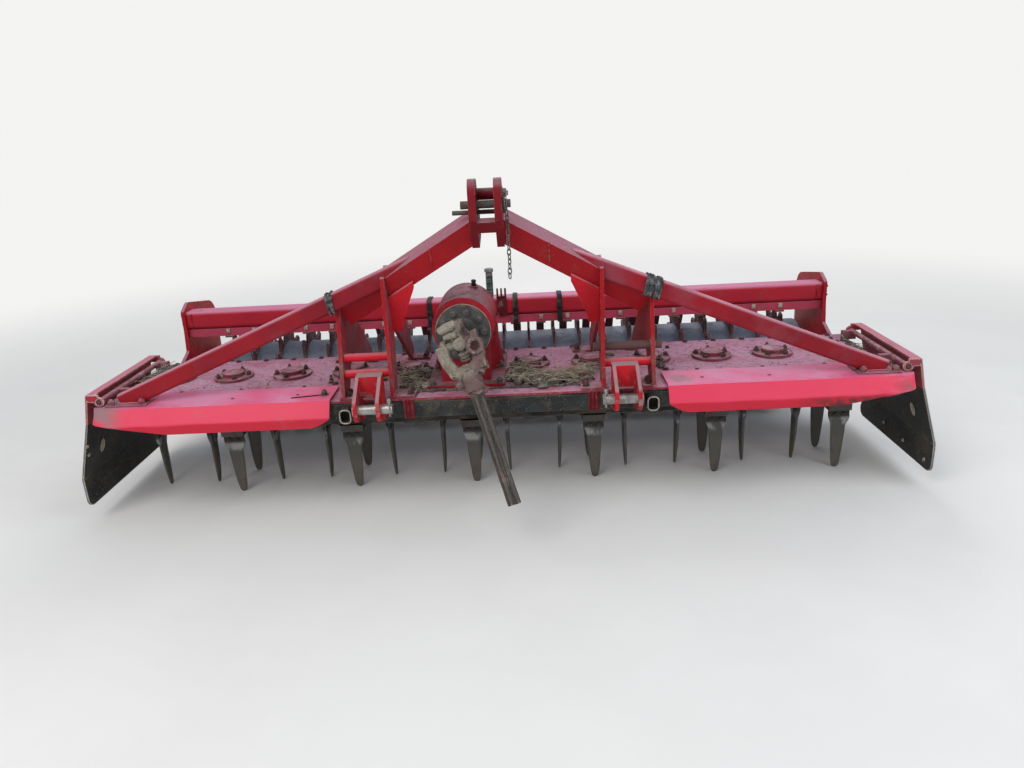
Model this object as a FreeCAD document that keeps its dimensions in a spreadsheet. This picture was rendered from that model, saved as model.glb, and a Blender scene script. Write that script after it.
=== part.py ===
import FreeCAD, Part
import Sketcher
import math
import os
import re
from types import SimpleNamespace

# A three metre power harrow with a packer roller, standing on its tines and its roller.
# X runs across the machine, -Y is the tractor's side, +Y the roller's side, +Z is up.
# Heights count from the ground. Depths (Y) in the sizes count from the line of the rotors,
# which lies rotor_line behind the middle of the machine's length. All sizes are millimetres
# or degrees.

SIZES = (
    # name, value
    # the row of rotors
    ("rotor_line", -123.6),
    ("rotor_count", 12),
    ("rotor_pitch", 250),
    ("shaft_radius", 27),
    ("shaft_top", 425),
    ("shaft_fit", 0.1),
    ("hub_radius", 66),
    ("hub_bottom", 258),
    ("hub_height", 27),
    ("holder_reach", 127),
    ("holder_width", 92),
    ("housing_radius", 84),
    ("housing_flange", 12),
    ("housing_neck_radius", 48),
    ("housing_neck_height", 60),
    ("housing_fit", 0.2),
    # the tines
    ("tine_circle", 112),
    ("tine_thick", 16),
    ("tine_top_width", 82),
    ("tine_shoulder_width", 62),
    ("tine_shoulder_height", 196),
    ("tine_tip_width", 36),
    # the trough, its lid and the bar along its front
    ("lid_top", 475),
    ("lid_thick", 8),
    ("lid_front", 362),
    ("lid_rear", 245),
    ("pan_wall", 8),
    ("pan_depth", 165),
    ("pan_floor_half", 150),
    ("pan_mouth_half", 192),
    ("pan_end_thick", 12),
    ("front_bar_size", 60),
    ("front_bar_wall", 6),
    # covers over the rotors
    ("cover_radius", 80),
    ("cover_thick", 10),
    ("cover_cap_radius", 45),
    ("cover_cap_height", 14),
    # the gearbox over the rotor left of the middle
    ("gearbox_rotor", 5),
    ("gearbox_axis_height", 215),
    ("gearbox_radius", 118),
    ("gearbox_rise", 12),
    ("gearbox_front", 232),
    ("gearbox_rear", 60),
    ("gearbox_base_width", 300),
    ("gearbox_base_front", 280),
    ("gearbox_base_rear", 150),
    ("gearbox_base_thick", 16),
    ("gearbox_foot_radius", 145),
    ("gearbox_waist_radius", 112),
    ("input_flange_radius", 103),
    ("input_flange_thick", 30),
    ("input_boss_radius", 60),
    ("input_boss_length", 16),
    ("input_shaft_radius", 24),
    # the universal joint and the half of the driveline that hangs from it
    ("joint_reach", 395),
    ("input_yoke_near", 80),
    ("input_yoke_inner", 44),
    ("input_yoke_thick", 18),
    ("input_yoke_width", 46),
    ("input_yoke_base", 20),
    ("tube_yoke_near", 90),
    ("tube_yoke_inner", 50),
    ("tube_yoke_thick", 18),
    ("tube_yoke_width", 54),
    ("tube_yoke_base", 26),
    ("cross_pin_radius", 14),
    ("cross_pin_fit", 0.08),
    ("cross_core_radius", 24),
    ("driveline_roll", 18.8),
    ("driveline_drop", 63.3),
    ("driveline_tube_radius", 25),
    ("driveline_tube_wall", 5),
    ("driveline_collar_radius", 36),
    ("driveline_collar_length", 72),
    ("driveline_length", 610),
    # the headstock
    ("headstock_lean", 24),
    ("beam_size", 83),
    ("beam_wall", 8),
    ("beam_top_front_reach", 431),
    ("beam_top_height", 681),
    ("beam_slope", 33.4),
    ("plate_thick", 14),
    ("inner_plate_place", 395),
    ("outer_plate_place", 581),
    ("plate_leg", 88),
    ("plate_rear_leg", 66),
    ("plate_front", 362),
    ("plate_rear_foot", 205),
    ("plate_crown", 190),
    ("plate_margin", 15),
    ("cross_tube_radius", 16),
    ("cross_tube_fit", 0.2),
    ("cross_tube_reach", 306),
    ("cross_tube_height", 152),
    ("cross_tube_tail", 34),
    ("lower_tube_radius", 16),
    ("lower_tube_reach", 318),
    ("lower_tube_height", 92),
    ("gusset_width", 103),
    ("gusset_height", 150),
    ("gusset_thick", 12),
    ("gusset_lap", 20),
    ("gusset_edge", 28),
    ("gusset_foot", 36),
    ("foot_thick", 10),
    ("foot_width", 84),
    # the top clevis: its heights count from the beams' top edge, those of its heel and toe
    # from its shoulder, and that of its bottom from its toe
    ("clevis_gap", 60),
    ("clevis_thick", 26),
    ("clevis_front", 500),
    ("clevis_crown_rear", 405),
    ("clevis_rear", 292),
    ("clevis_shoulder", -26),
    ("clevis_heel", -75),
    ("clevis_toe", -101),
    ("clevis_bottom", 101),
    ("clevis_pin_reach", 455),
    ("clevis_top", 107),
    ("clevis_round", 45),
    ("clevis_spacer_radius", 20),
    ("clevis_spacer_reach", 395),
    ("clevis_spacer_height", 53),
    ("top_pin_radius", 13.5),
    ("top_pin_height", 24),
    ("top_pin_fit", 0.1),
    ("top_pin_tail", 28),
    ("clevis_cross_thick", 20),
    ("clevis_cross_near", 0.06),
    ("clevis_cross_far", 0.44),
    ("clevis_rod_radius", 8),
    ("clevis_rod_reach", 400),
    ("clevis_rod_height", -6),
    ("clevis_rod_tail", 62),
    # the lower link brackets
    ("link_place", 470),
    ("link_gap", 70),
    ("link_ear_thick", 13),
    ("link_pin_reach", 465),
    ("link_pin_height", -1),
    ("link_pin_radius", 18.3),
    ("link_pin_fit", 0.1),
    ("link_pin_inner_tail", 42),
    ("link_pin_outer_tail", 8),
    ("link_ear_round", 36),
    ("link_ear_drop", 72),
    ("link_crown", 108),
    ("link_crown_depth", 40),
    ("link_crown_fall", 4),
    ("link_web_bottom", 22),
    # the square sockets beside the brackets
    ("socket_place", 570),
    ("socket_width", 46),
    ("socket_height", 58),
    ("socket_wall", 5),
    ("socket_length", 52),
    # the braces to the outer corners
    ("brace_width", 50),
    ("brace_height", 67),
    ("brace_wall", 6),
    ("brace_round", 13),
    ("brace_top_place", 282),
    ("brace_top_drop", 189),
    ("brace_foot_place", 1384),
    ("brace_foot_height", 43),
    ("brace_reach", 300),
    ("brace_plate_thick", 10),
    ("brace_plate_far", 1494),
    ("brace_plate_length", 158),
    ("brace_plate_width", 110),
    # the hoods over the front corners
    ("hood_inner_end", 631),
    ("hood_outer_end", 1509),
    ("hood_tip_end", 1541),
    ("hood_tip_rear", 352),
    ("hood_thick", 6),
    ("hood_rear", 205),
    ("hood_fold", 368),
    ("hood_face_drop", 50),
    ("hood_face_reach", 404),
    ("hood_lip_drop", 86),
    ("hood_lip_reach", 408),
    ("hood_chamfer_start", 1250),
    ("hood_chamfer_rise", 48),
    # the side plates
    ("side_gap", 34),
    ("side_head_width", 26),
    ("side_head_height", 112),
    ("side_head_rise", 60),
    ("side_head_lean", 22),
    ("side_front", 341),
    ("side_rear", 195),
    ("side_thick", 8),
    ("side_ear_inset", 1),
    ("side_eye_radius", 19),
    ("side_hinge_place", 1520),
    ("side_lug_width", 46),
    ("side_lug_inset", 40),
    ("side_hinge_radius", 11),
    ("side_hinge_fit", 0.1),
    ("side_hinge_height", 31),
    ("side_flare", 70),
    ("side_flare_drop", 290),
    ("side_bottom_drop", 410),
    ("side_tail", 330),
    ("side_corner", 34),
    # the roller, its frame and its scrapers
    ("arm_gap", 7),
    ("arm_thick", 15),
    ("lug_thick", 12),
    ("pivot_reach", 300),
    ("pivot_drop", 58),
    ("pivot_radius", 16),
    ("pivot_fit", 0.1),
    ("pivot_tail", 12),
    ("arm_margin", 14),
    ("arm_step", 22),
    ("arm_crown", 40),
    ("arm_rear", 90),
    ("roller_reach", 660),
    ("roller_tip_radius", 255),
    ("drum_radius", 188),
    ("drum_wall", 8),
    ("ring_root_radius", 204),
    ("ring_count", 23),
    ("ring_pitch", 122),
    ("ring_thick", 12),
    ("ring_teeth", 15),
    ("ring_twist", 7),
    ("roller_end_gap", 6),
    ("stub_radius", 28),
    ("stub_fit", 0.1),
    ("bearing_radius", 62),
    ("bearing_depth", 24),
    ("rear_beam_reach", 400),
    ("rear_beam_depth", 100),
    ("rear_beam_height", 82),
    ("rear_beam_rise", 118),
    ("rear_beam_wall", 6),
    ("rear_beam_round", 18),
    ("scraper_bar_reach", 408),
    ("scraper_bar_size", 36),
    ("scraper_bar_rise", 80),
    ("scraper_thick", 8),
    ("scraper_strap_width", 40),
    ("scraper_blade_width", 88),
    ("scraper_clearance", 6),
    ("scraper_angle", 12),
    ("scraper_over", 26),
    # small pieces behind the gearbox and on the clevis
    ("filler_radius", 14),
    ("filler_offset", 95),
    ("filler_depth", 85),
    ("filler_height", 395),
    ("chain_eye_gap", 0.5),
    ("chain_ring_radius", 9),
    ("chain_wire_radius", 2.8),
    ("chain_rings", 15),
)

NAMES = {name for name, value in SIZES}
doc = FreeCAD.newDocument("power_harrow")
sheet = doc.addObject("Spreadsheet::Sheet", "Sizes")
for line, (name, value) in enumerate(SIZES, start=1):
    sheet.set(f"A{line}", str(value))
    sheet.setAlias(f"A{line}", name)
doc.recompute()
size = SimpleNamespace(**{name: float(sheet.get(name)) for name in NAMES})

# Axes as the short names that the helpers below take.
TURN = {
    "x": FreeCAD.Rotation(FreeCAD.Vector(0, 1, 0), 90),
    "y": FreeCAD.Rotation(FreeCAD.Vector(1, 0, 0), -90),
    "z": FreeCAD.Rotation(),
}
PLANE = {"x": "YZ_Plane", "z": "XY_Plane"}
SIDES = (("left", -1), ("right", 1))
parts = []


def formula(text):
    """Put the sheet's name before each size in a formula."""
    return re.sub(r"[a-z][a-z_]+", lambda word: "Sizes." * (word[0] in NAMES) + word[0], str(text))


def bind(thing, **formulas):
    """Tie properties of an object to formulas of the sizes."""
    for key, text in formulas.items():
        thing.setExpression(key, formula(text))


def put(thing, x=0, y=0, z=0):
    """Tie an object's place to formulas of the sizes."""
    for key, text in (("x", x), ("y", y), ("z", z)):
        thing.setExpression(f"Placement.Base.{key}", formula(text))


def piece(thing, label):
    """Name an object as one of the machine's pieces."""
    thing.Label = label
    parts.append(thing)
    return thing


def behind(text):
    """The Y of a depth that counts from the rotor line."""
    return f"rotor_line + ({text})"


def across(side, near, far):
    """The X span between two distances from the middle, on one side."""
    if side > 0:
        return str(near), str(far)
    return f"-({far})", f"-({near})"


def block(name, x, y, z):
    """A box between two X, two Y and two Z formulas."""
    box = doc.addObject("Part::Box", name)
    bind(box, Length=f"({x[1]}) - ({x[0]})", Width=f"({y[1]}) - ({y[0]})", Height=f"({z[1]}) - ({z[0]})")
    put(box, x[0], y[0], z[0])
    return box


def rod(name, axis, at, radius, length):
    """A round bar that starts at a point and runs along one axis."""
    bar = doc.addObject("Part::Cylinder", name)
    bar.Placement = FreeCAD.Placement(FreeCAD.Vector(), TURN[axis])
    bind(bar, Radius=radius, Height=length)
    put(bar, *at)
    return bar


def cone(name, at, low_radius, high_radius, height):
    """An upright cone that starts at a point."""
    body = doc.addObject("Part::Cone", name)
    bind(body, Radius1=low_radius, Radius2=high_radius, Height=height)
    put(body, *at)
    return body


def joined(name, pieces):
    """One solid out of several that overlap or touch."""
    fusion = doc.addObject("Part::MultiFuse", name)
    fusion.Shapes = pieces
    fusion.Refine = True
    return fusion


def beside(name, pieces):
    """Like pieces that share a node and don't touch."""
    group = doc.addObject("Part::Compound", name)
    group.Links = pieces
    return group


def without(name, base, tools):
    """A solid with one or more others cut out of it."""
    cut = doc.addObject("Part::Cut", name)
    cut.Base = base
    cut.Tool = tools[0] if len(tools) == 1 else joined(name + "_tools", tools)
    return cut


def outline(body, name, axis, corners, bores=()):
    """A closed sketch whose corners and bores follow formulas of the sizes."""
    sketch = body.newObject("Sketcher::SketchObject", name + "_outline")
    plane = [item for item in body.Origin.OriginFeatures if item.Role == PLANE[axis]][0]
    sketch.AttachmentSupport = [(plane, "")]
    sketch.MapMode = "FlatFace"
    count = len(corners)
    first = FreeCAD.Vector(0, 100, 0)
    upright = FreeCAD.Vector(0, 0, 1)
    ring = [FreeCAD.Rotation(upright, -360 * i / count).multVec(first) for i in range(count)]
    for i in range(count):
        sketch.addGeometry(Part.LineSegment(ring[i], ring[(i + 1) % count]), False)
    for i in range(count):
        sketch.addConstraint(Sketcher.Constraint("Coincident", i, 2, (i + 1) % count, 1))
    for i, corner in enumerate(corners):
        for kind, text, start in (("DistanceX", corner[0], ring[i].x), ("DistanceY", corner[1], ring[i].y)):
            mark = sketch.addConstraint(Sketcher.Constraint(kind, i, 1, start))
            sketch.setExpression(f"Constraints[{mark}]", formula(text))
    for u, v, radius in bores:
        circle = sketch.addGeometry(Part.Circle(FreeCAD.Vector(1, 1, 0), FreeCAD.Vector(0, 0, 1), 5), False)
        mark = sketch.addConstraint(Sketcher.Constraint("Radius", circle, 5))
        sketch.setExpression(f"Constraints[{mark}]", formula(radius))
        for kind, text in (("DistanceX", u), ("DistanceY", v)):
            mark = sketch.addConstraint(Sketcher.Constraint(kind, circle, 3, 1))
            sketch.setExpression(f"Constraints[{mark}]", formula(text))
    return sketch


def plate(name, axis, start, thickness, corners, bores=()):
    """A flat plate across X or Z, padded from its outline. A corner's third entry is its rounding."""
    body = doc.addObject("PartDesign::Body", name)
    sketch = outline(body, name, axis, corners, bores)
    pad = body.newObject("PartDesign::Pad", name + "_pad")
    pad.Profile = sketch
    bind(pad, Length=thickness)
    put(body, **{axis: start})
    rounded = {}
    for i, corner in enumerate(corners):
        if len(corner) > 2:
            rounded.setdefault(corner[2], []).append(i)
    if rounded:
        doc.recompute()
    tip = pad
    for radius, marks in rounded.items():
        spots = [sketch.getPoint(i, 1) for i in marks]
        edges = []
        for number, edge in enumerate(tip.Shape.Edges, start=1):
            ends = [(point.y, point.z) if axis == "x" else (point.x, point.y)
                    for point in (vertex.Point for vertex in edge.Vertexes)]
            if len(ends) == 2 and all(abs(u - spot.x) + abs(v - spot.y) < 0.01 for u, v in ends
                                      for spot in [min(spots, key=lambda s: abs(u - s.x) + abs(v - s.y))]):
                if abs(ends[0][0] - ends[1][0]) + abs(ends[0][1] - ends[1][1]) < 0.01:
                    edges.append(f"Edge{number}")
        fillet = body.newObject("PartDesign::Fillet", f"{name}_round_{marks[0]}")
        fillet.Base = (tip, edges)
        bind(fillet, Radius=radius)
        doc.recompute()
        tip = fillet
    body.Tip = tip
    return body


def shaped(label, shape):
    """A piece whose shape is worked out here from the sizes."""
    feature = doc.addObject("Part::Feature", label)
    feature.Shape = shape
    return piece(feature, label)


# Heights and places that several pieces share.
DECK = "(lid_top - lid_thick)"
TROUGH_END = "(rotor_pitch * rotor_count / 2)"
ARM_OUTER = f"({TROUGH_END} - pan_end_thick - arm_gap)"
ARM_INNER = f"({ARM_OUTER} - arm_thick)"
LUG_OUTER = f"({ARM_INNER} - arm_gap)"
PIVOT = (behind("pivot_reach"), "lid_top - pivot_drop")
AXLE = (behind("roller_reach"), "roller_tip_radius")

# The same places as numbers, for the pieces that are worked out here.
trough_end = size.rotor_pitch * size.rotor_count / 2
arm_outer = trough_end - size.pan_end_thick - size.arm_gap
arm_inner = arm_outer - size.arm_thick
rotor_places = [(i - (size.rotor_count - 1) / 2) * size.rotor_pitch for i in range(int(size.rotor_count))]
gearbox_x = rotor_places[int(size.gearbox_rotor)]
GEARBOX_X = "((gearbox_rotor - (rotor_count - 1) / 2) * rotor_pitch)"
INPUT_Z = "(lid_top + gearbox_axis_height)"


def rotor_x(i):
    """The X of one rotor as a formula."""
    return f"({i} - (rotor_count - 1) / 2) * rotor_pitch"


# The trough: a folded pan, its end plates with ears for the roller's arms, and inner lugs.
pan = plate("pan", "x", f"-{TROUGH_END} + pan_end_thick / 2", f"2 * {TROUGH_END} - pan_end_thick", [
    (behind("-lid_front"), DECK),
    (behind("-lid_front"), f"{DECK} - pan_wall"),
    (behind("-pan_mouth_half"), f"{DECK} - pan_wall"),
    (behind("-pan_floor_half"), f"{DECK} - pan_depth"),
    (behind("pan_floor_half"), f"{DECK} - pan_depth"),
    (behind("pan_mouth_half"), f"{DECK} - pan_wall"),
    (behind("lid_rear"), f"{DECK} - pan_wall"),
    (behind("lid_rear"), DECK),
    (behind("pan_mouth_half - pan_wall"), DECK),
    (behind("pan_floor_half - pan_wall"), f"{DECK} - pan_depth + pan_wall"),
    (behind("-pan_floor_half + pan_wall"), f"{DECK} - pan_depth + pan_wall"),
    (behind("-pan_mouth_half + pan_wall"), DECK),
])
EAR = [
    (PIVOT[0] + " + pivot_radius * 2", f"{PIVOT[1]} + pivot_radius * 2", "pivot_radius"),
    (PIVOT[0] + " + pivot_radius * 2", f"{PIVOT[1]} - pivot_radius * 2", "pivot_radius * 1.9"),
]
BORE = [(PIVOT[0], PIVOT[1], "pivot_radius")]
trough_pieces = [pan]
for name, side in SIDES:
    start, end = across(side, f"{TROUGH_END} - pan_end_thick", TROUGH_END)
    trough_pieces.append(plate("pan_end_" + name, "x", start, "pan_end_thick", [
        (behind("-lid_front"), DECK),
        (behind("-lid_front"), f"{DECK} - front_bar_size"),
        (behind("-pan_floor_half"), f"{DECK} - pan_depth"),
        (behind("pan_floor_half"), f"{DECK} - pan_depth"),
        EAR[1],
        EAR[0],
        (behind("lid_rear"), DECK),
    ], BORE))
    start, end = across(side, f"{LUG_OUTER} - lug_thick", LUG_OUTER)
    trough_pieces.append(plate("pan_lug_" + name, "x", start, "lug_thick", [
        (behind("pan_mouth_half - pan_wall"), f"{DECK} - pan_wall / 2"),
        (behind("pan_floor_half"), f"{DECK} - pan_depth / 2"),
        EAR[1],
        EAR[0],
        (behind("lid_rear"), f"{DECK} - pan_wall / 2"),
    ], BORE))
trough = joined("trough_joined", trough_pieces)
neck_holes = [
    rod(f"neck_hole_{i + 1:02d}", "z", (rotor_x(i), "rotor_line", f"{DECK} - pan_depth - pan_wall"),
        "housing_neck_radius + housing_fit", "pan_wall * 3")
    for i in range(int(size.rotor_count))
]
piece(without("gear_trough", trough, neck_holes), "gear_trough")

# The bar along the front of the trough, under the lid's front edge.
bar_x = (f"-{TROUGH_END} + pan_end_thick", f"{TROUGH_END} - pan_end_thick")
BAR_FRONT = behind("-lid_front")
BAR_REAR = behind("-lid_front + front_bar_size")
BAR_TOP = f"{DECK} - pan_wall"
BAR_LOW = f"{BAR_TOP} - front_bar_size"
bar_outer = block("front_bar_outer", bar_x, (BAR_FRONT, BAR_REAR), (BAR_LOW, BAR_TOP))
bar_inner = block("front_bar_inner", bar_x,
                  (f"{BAR_FRONT} + front_bar_wall", f"{BAR_REAR} - front_bar_wall"),
                  (f"{BAR_LOW} + front_bar_wall", f"{BAR_TOP} - front_bar_wall"))
piece(without("front_bar", bar_outer, [bar_inner]), "front_bar")

piece(block("trough_lid", (f"-{TROUGH_END}", TROUGH_END), (behind("-lid_front"), behind("lid_rear")),
            (DECK, "lid_top")), "trough_lid")

# Over each rotor a flanged cover on the lid, under the pan a bearing housing.
covers = []
housings = []
for i in range(int(size.rotor_count)):
    if i != int(size.gearbox_rotor):
        covers.append(joined(f"cover_{i + 1:02d}", [
            rod(f"cover_flange_{i + 1:02d}", "z", (rotor_x(i), "rotor_line", "lid_top"),
                "cover_radius", "cover_thick"),
            rod(f"cover_cap_{i + 1:02d}", "z", (rotor_x(i), "rotor_line", "lid_top"),
                "cover_cap_radius", "cover_thick + cover_cap_height"),
        ]))
    housing_z = f"{DECK} - pan_depth - housing_flange"
    housings.append(without(f"housing_{i + 1:02d}", joined(f"housing_solid_{i + 1:02d}", [
        rod(f"housing_flange_{i + 1:02d}", "z", (rotor_x(i), "rotor_line", housing_z),
            "housing_radius", "housing_flange"),
        rod(f"housing_neck_{i + 1:02d}", "z", (rotor_x(i), "rotor_line", housing_z),
            "housing_neck_radius", "housing_flange + housing_neck_height"),
    ]), [
        rod(f"housing_bore_{i + 1:02d}", "z", (rotor_x(i), "rotor_line", f"{housing_z} - pan_wall"),
            "shaft_radius + shaft_fit", "housing_flange + housing_neck_height + 2 * pan_wall"),
    ]))
piece(beside("rotor_covers", covers), "rotor_covers")
piece(beside("bearing_housings", housings), "bearing_housings")


def tine(name):
    """One flat tine on its edge, wide at its shoulder and narrow at its tip."""
    body = doc.addObject("PartDesign::Body", name)
    corners = [
        ("tine_top_width / 2", "hub_bottom"),
        ("tine_shoulder_width / 2", "tine_shoulder_height"),
        ("tine_tip_width / 2", "0"),
        ("-tine_tip_width / 2", "0"),
        ("-tine_shoulder_width / 2", "tine_shoulder_height"),
        ("-tine_top_width / 2", "hub_bottom"),
    ]
    sketch = outline(body, name, "x", corners)
    pad = body.newObject("PartDesign::Pad", name + "_pad")
    pad.Profile = sketch
    bind(pad, Length="tine_thick")
    return body


# Each rotor: a shaft and hub with a holder across it, and two tines under the holder's ends.
# Neighbours stand a quarter turn apart, so that their tines pass each other.
tine_near = tine("tine_near")
bind(tine_near, **{"Placement.Base.x": "tine_circle - tine_thick / 2"})
tine_far = tine("tine_far")
bind(tine_far, **{"Placement.Base.x": "-tine_circle - tine_thick / 2"})
hub_model = joined("hub_model", [
    rod("hub_disc", "z", (0, 0, "hub_bottom"), "hub_radius", "hub_height"),
    rod("hub_shaft", "z", (0, 0, "hub_bottom"), "shaft_radius", "shaft_top - hub_bottom"),
    block("hub_holder", ("-holder_reach", "holder_reach"), ("-holder_width / 2", "holder_width / 2"),
          ("hub_bottom", "hub_bottom + hub_height")),
])
doc.recompute()
for i, x in enumerate(rotor_places):
    turned = FreeCAD.Placement(FreeCAD.Vector(x, size.rotor_line, 0),
                               FreeCAD.Rotation(FreeCAD.Vector(0, 0, 1), 90 * (i % 2)))
    hub = shaped(f"rotor_hub_{i + 1:02d}", hub_model.Shape.copy())
    hub.Placement = turned
    pair = shaped(f"tine_pair_{i + 1:02d}", Part.Compound([tine_near.Shape.copy(), tine_far.Shape.copy()]))
    pair.Placement = turned

# The gearbox: a base on the lid, a foot over the rotor and a barrel towards the tractor.
gearbox = piece(joined("gearbox_housing", [
    block("gearbox_base", (f"{GEARBOX_X} - gearbox_base_width / 2", f"{GEARBOX_X} + gearbox_base_width / 2"),
          (behind("-gearbox_base_front"), behind("gearbox_base_rear")),
          ("lid_top", "lid_top + gearbox_base_thick")),
    cone("gearbox_foot", (GEARBOX_X, "rotor_line", "lid_top"), "gearbox_foot_radius",
         "gearbox_waist_radius", "gearbox_axis_height"),
    rod("gearbox_barrel", "y", (GEARBOX_X, behind("-gearbox_front"), INPUT_Z + " + gearbox_rise"),
        "gearbox_radius", "gearbox_front + gearbox_rear"),
    block("gearbox_web", (f"{GEARBOX_X} - gearbox_radius * 0.8", f"{GEARBOX_X} + gearbox_radius * 0.8"),
          (behind("-gearbox_front"), behind("gearbox_rear")), ("lid_top", INPUT_Z)),
]), "gearbox_housing")

# The input flange, its boss and the shaft that carries the first yoke.
FLANGE_Y = "gearbox_front + input_flange_thick"
piece(joined("input_flange", [
    rod("flange_disc", "y", (GEARBOX_X, behind(f"-({FLANGE_Y})"), INPUT_Z), "input_flange_radius",
        "input_flange_thick"),
    rod("flange_boss", "y", (GEARBOX_X, behind(f"-({FLANGE_Y}) - input_boss_length"), INPUT_Z),
        "input_boss_radius", "input_boss_length"),
]), "input_flange")

# The universal joint turns about two pins that cross at its centre.
joint = FreeCAD.Vector(gearbox_x, size.rotor_line - size.joint_reach, size.lid_top + size.gearbox_axis_height)
roll = math.radians(size.driveline_roll)
drop = math.radians(size.driveline_drop)
tube_pin = FreeCAD.Vector(math.cos(roll), 0, math.sin(roll))
input_pin = FreeCAD.Vector(math.sin(roll), 0, -math.cos(roll))
tube_way = FreeCAD.Vector(0, -1, 0) * math.cos(drop) + input_pin * math.sin(drop)


def bar_along(start, way, radius, length):
    """A round bar from a point along a direction."""
    return Part.makeCylinder(radius, length, start, way)


def slab(centre, along, side, length, width, thick):
    """A flat bar: its length along one direction, its width along another, centred on its width."""
    normal = along.cross(side)
    corner = centre - side * (width / 2) - normal * (thick / 2)
    box = Part.makeBox(length, width, thick)
    turn = FreeCAD.Rotation(along, side, normal, "XYZ")
    box.Placement = FreeCAD.Placement(corner, turn)
    return box


def yoke(axis, pin, near, inner, thick, width, base):
    """A yoke: a bridge across its foot and two ears with a bore each for one pin of the cross."""
    middle = inner + thick / 2
    side = axis.cross(pin)
    solids = [slab(joint + axis * near, axis, side, base, width, 2 * (inner + thick))]
    for way in (-1, 1):
        ear = slab(joint + pin * (middle * way), axis, side, near + base, width, thick)
        tip = bar_along(joint + pin * (middle * way - thick / 2), pin, width / 2, thick)
        solids += [ear, tip]
    bore = bar_along(joint - pin * (inner + 2 * thick), pin, size.cross_pin_radius + size.cross_pin_fit,
                     2 * (inner + 2 * thick))
    return solids[0].multiFuse(solids[1:]).cut(bore).removeSplitter()


# The first yoke sits on the gearbox's shaft. Its ears are above and below the joint's centre.
back = FreeCAD.Vector(0, 1, 0)
first_yoke = yoke(back, input_pin, size.input_yoke_near, size.input_yoke_inner, size.input_yoke_thick,
                  size.input_yoke_width, size.input_yoke_base)
yoke_back = size.input_yoke_near + size.input_yoke_base
flange_face = size.gearbox_front + size.input_flange_thick + size.input_boss_length
shaft = bar_along(joint + back * (yoke_back - 1), back, size.input_shaft_radius,
                  size.joint_reach - flange_face - yoke_back + 1)
shaped("input_yoke", first_yoke.fuse(shaft).removeSplitter())

# The cross: one pin for each yoke and a round core.
input_half = size.input_yoke_inner + size.input_yoke_thick
tube_half = size.tube_yoke_inner + size.tube_yoke_thick
core = size.cross_core_radius
cross = bar_along(joint - input_pin * input_half, input_pin, size.cross_pin_radius, 2 * input_half)
cross = cross.multiFuse([
    bar_along(joint - tube_pin * tube_half, tube_pin, size.cross_pin_radius, 2 * tube_half),
    bar_along(joint - back * core, back, core, 2 * core),
])
shaped("joint_cross", cross.removeSplitter())

# The second yoke, its collar and the tube that hangs from it.
second_yoke = yoke(tube_way, tube_pin, size.tube_yoke_near, size.tube_yoke_inner, size.tube_yoke_thick,
                   size.tube_yoke_width, size.tube_yoke_base)
collar_start = size.tube_yoke_near + size.tube_yoke_base - 1
collar_end = collar_start + size.driveline_collar_length
collar = bar_along(joint + tube_way * collar_start, tube_way, size.driveline_collar_radius,
                   size.driveline_collar_length)
tube = bar_along(joint + tube_way * (collar_end - 1), tube_way, size.driveline_tube_radius,
                 size.driveline_length - collar_end + 1)
hollow = bar_along(joint + tube_way * collar_end, tube_way,
                   size.driveline_tube_radius - size.driveline_tube_wall, size.driveline_length)
shaped("driveline_tube", second_yoke.multiFuse([collar, tube.cut(hollow)]).removeSplitter())

# The headstock leans forward. Its beams are square tubes in the leaning plane.
lean = math.radians(size.headstock_lean)
slope = math.radians(size.beam_slope)
face_way = FreeCAD.Vector(0, -math.cos(lean), -math.sin(lean))
rise_way = FreeCAD.Vector(0, -math.sin(lean), math.cos(lean))
beam_corner = FreeCAD.Vector(0, size.rotor_line - size.beam_top_front_reach,
                             size.lid_top + size.beam_top_height)


def square_bar(start, along, up, width, height, length):
    """A solid bar whose top front edge starts at a point. Its front faces along cross up."""
    bar = Part.makeBox(length, width, height)
    turn = FreeCAD.Rotation(along, up.cross(along), up, "XYZ")
    bar.Placement = FreeCAD.Placement(start - up * height, turn)
    return bar


def long_edges(bar, along):
    """The edges of a bar that run its whole way."""
    return [edge for edge in bar.Edges if edge.tangentAt(edge.FirstParameter).cross(along).Length < 0.001]


def square_tube(start, along, up, width, height, wall, length, rounding=0):
    """The same as a tube with open ends, its long corners rounded if asked."""
    inner_start = start - up * wall + up.cross(along) * wall
    outer = square_bar(start, along, up, width, height, length)
    inner = square_bar(inner_start, along, up, width - 2 * wall, height - 2 * wall, length)
    if rounding:
        outer = outer.makeFillet(rounding, long_edges(outer, along))
        inner = inner.makeFillet(rounding - wall, long_edges(inner, along))
    return outer.cut(inner)


def mirrored(shape, side):
    """The shape itself on the right, its mirror image on the left."""
    if side > 0:
        return shape
    return shape.mirror(FreeCAD.Vector(), FreeCAD.Vector(1, 0, 0))


def pair(shape):
    """A shape with its mirror image, as two solids of one piece."""
    return Part.Compound([mirrored(shape, side) for name, side in SIDES])


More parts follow.
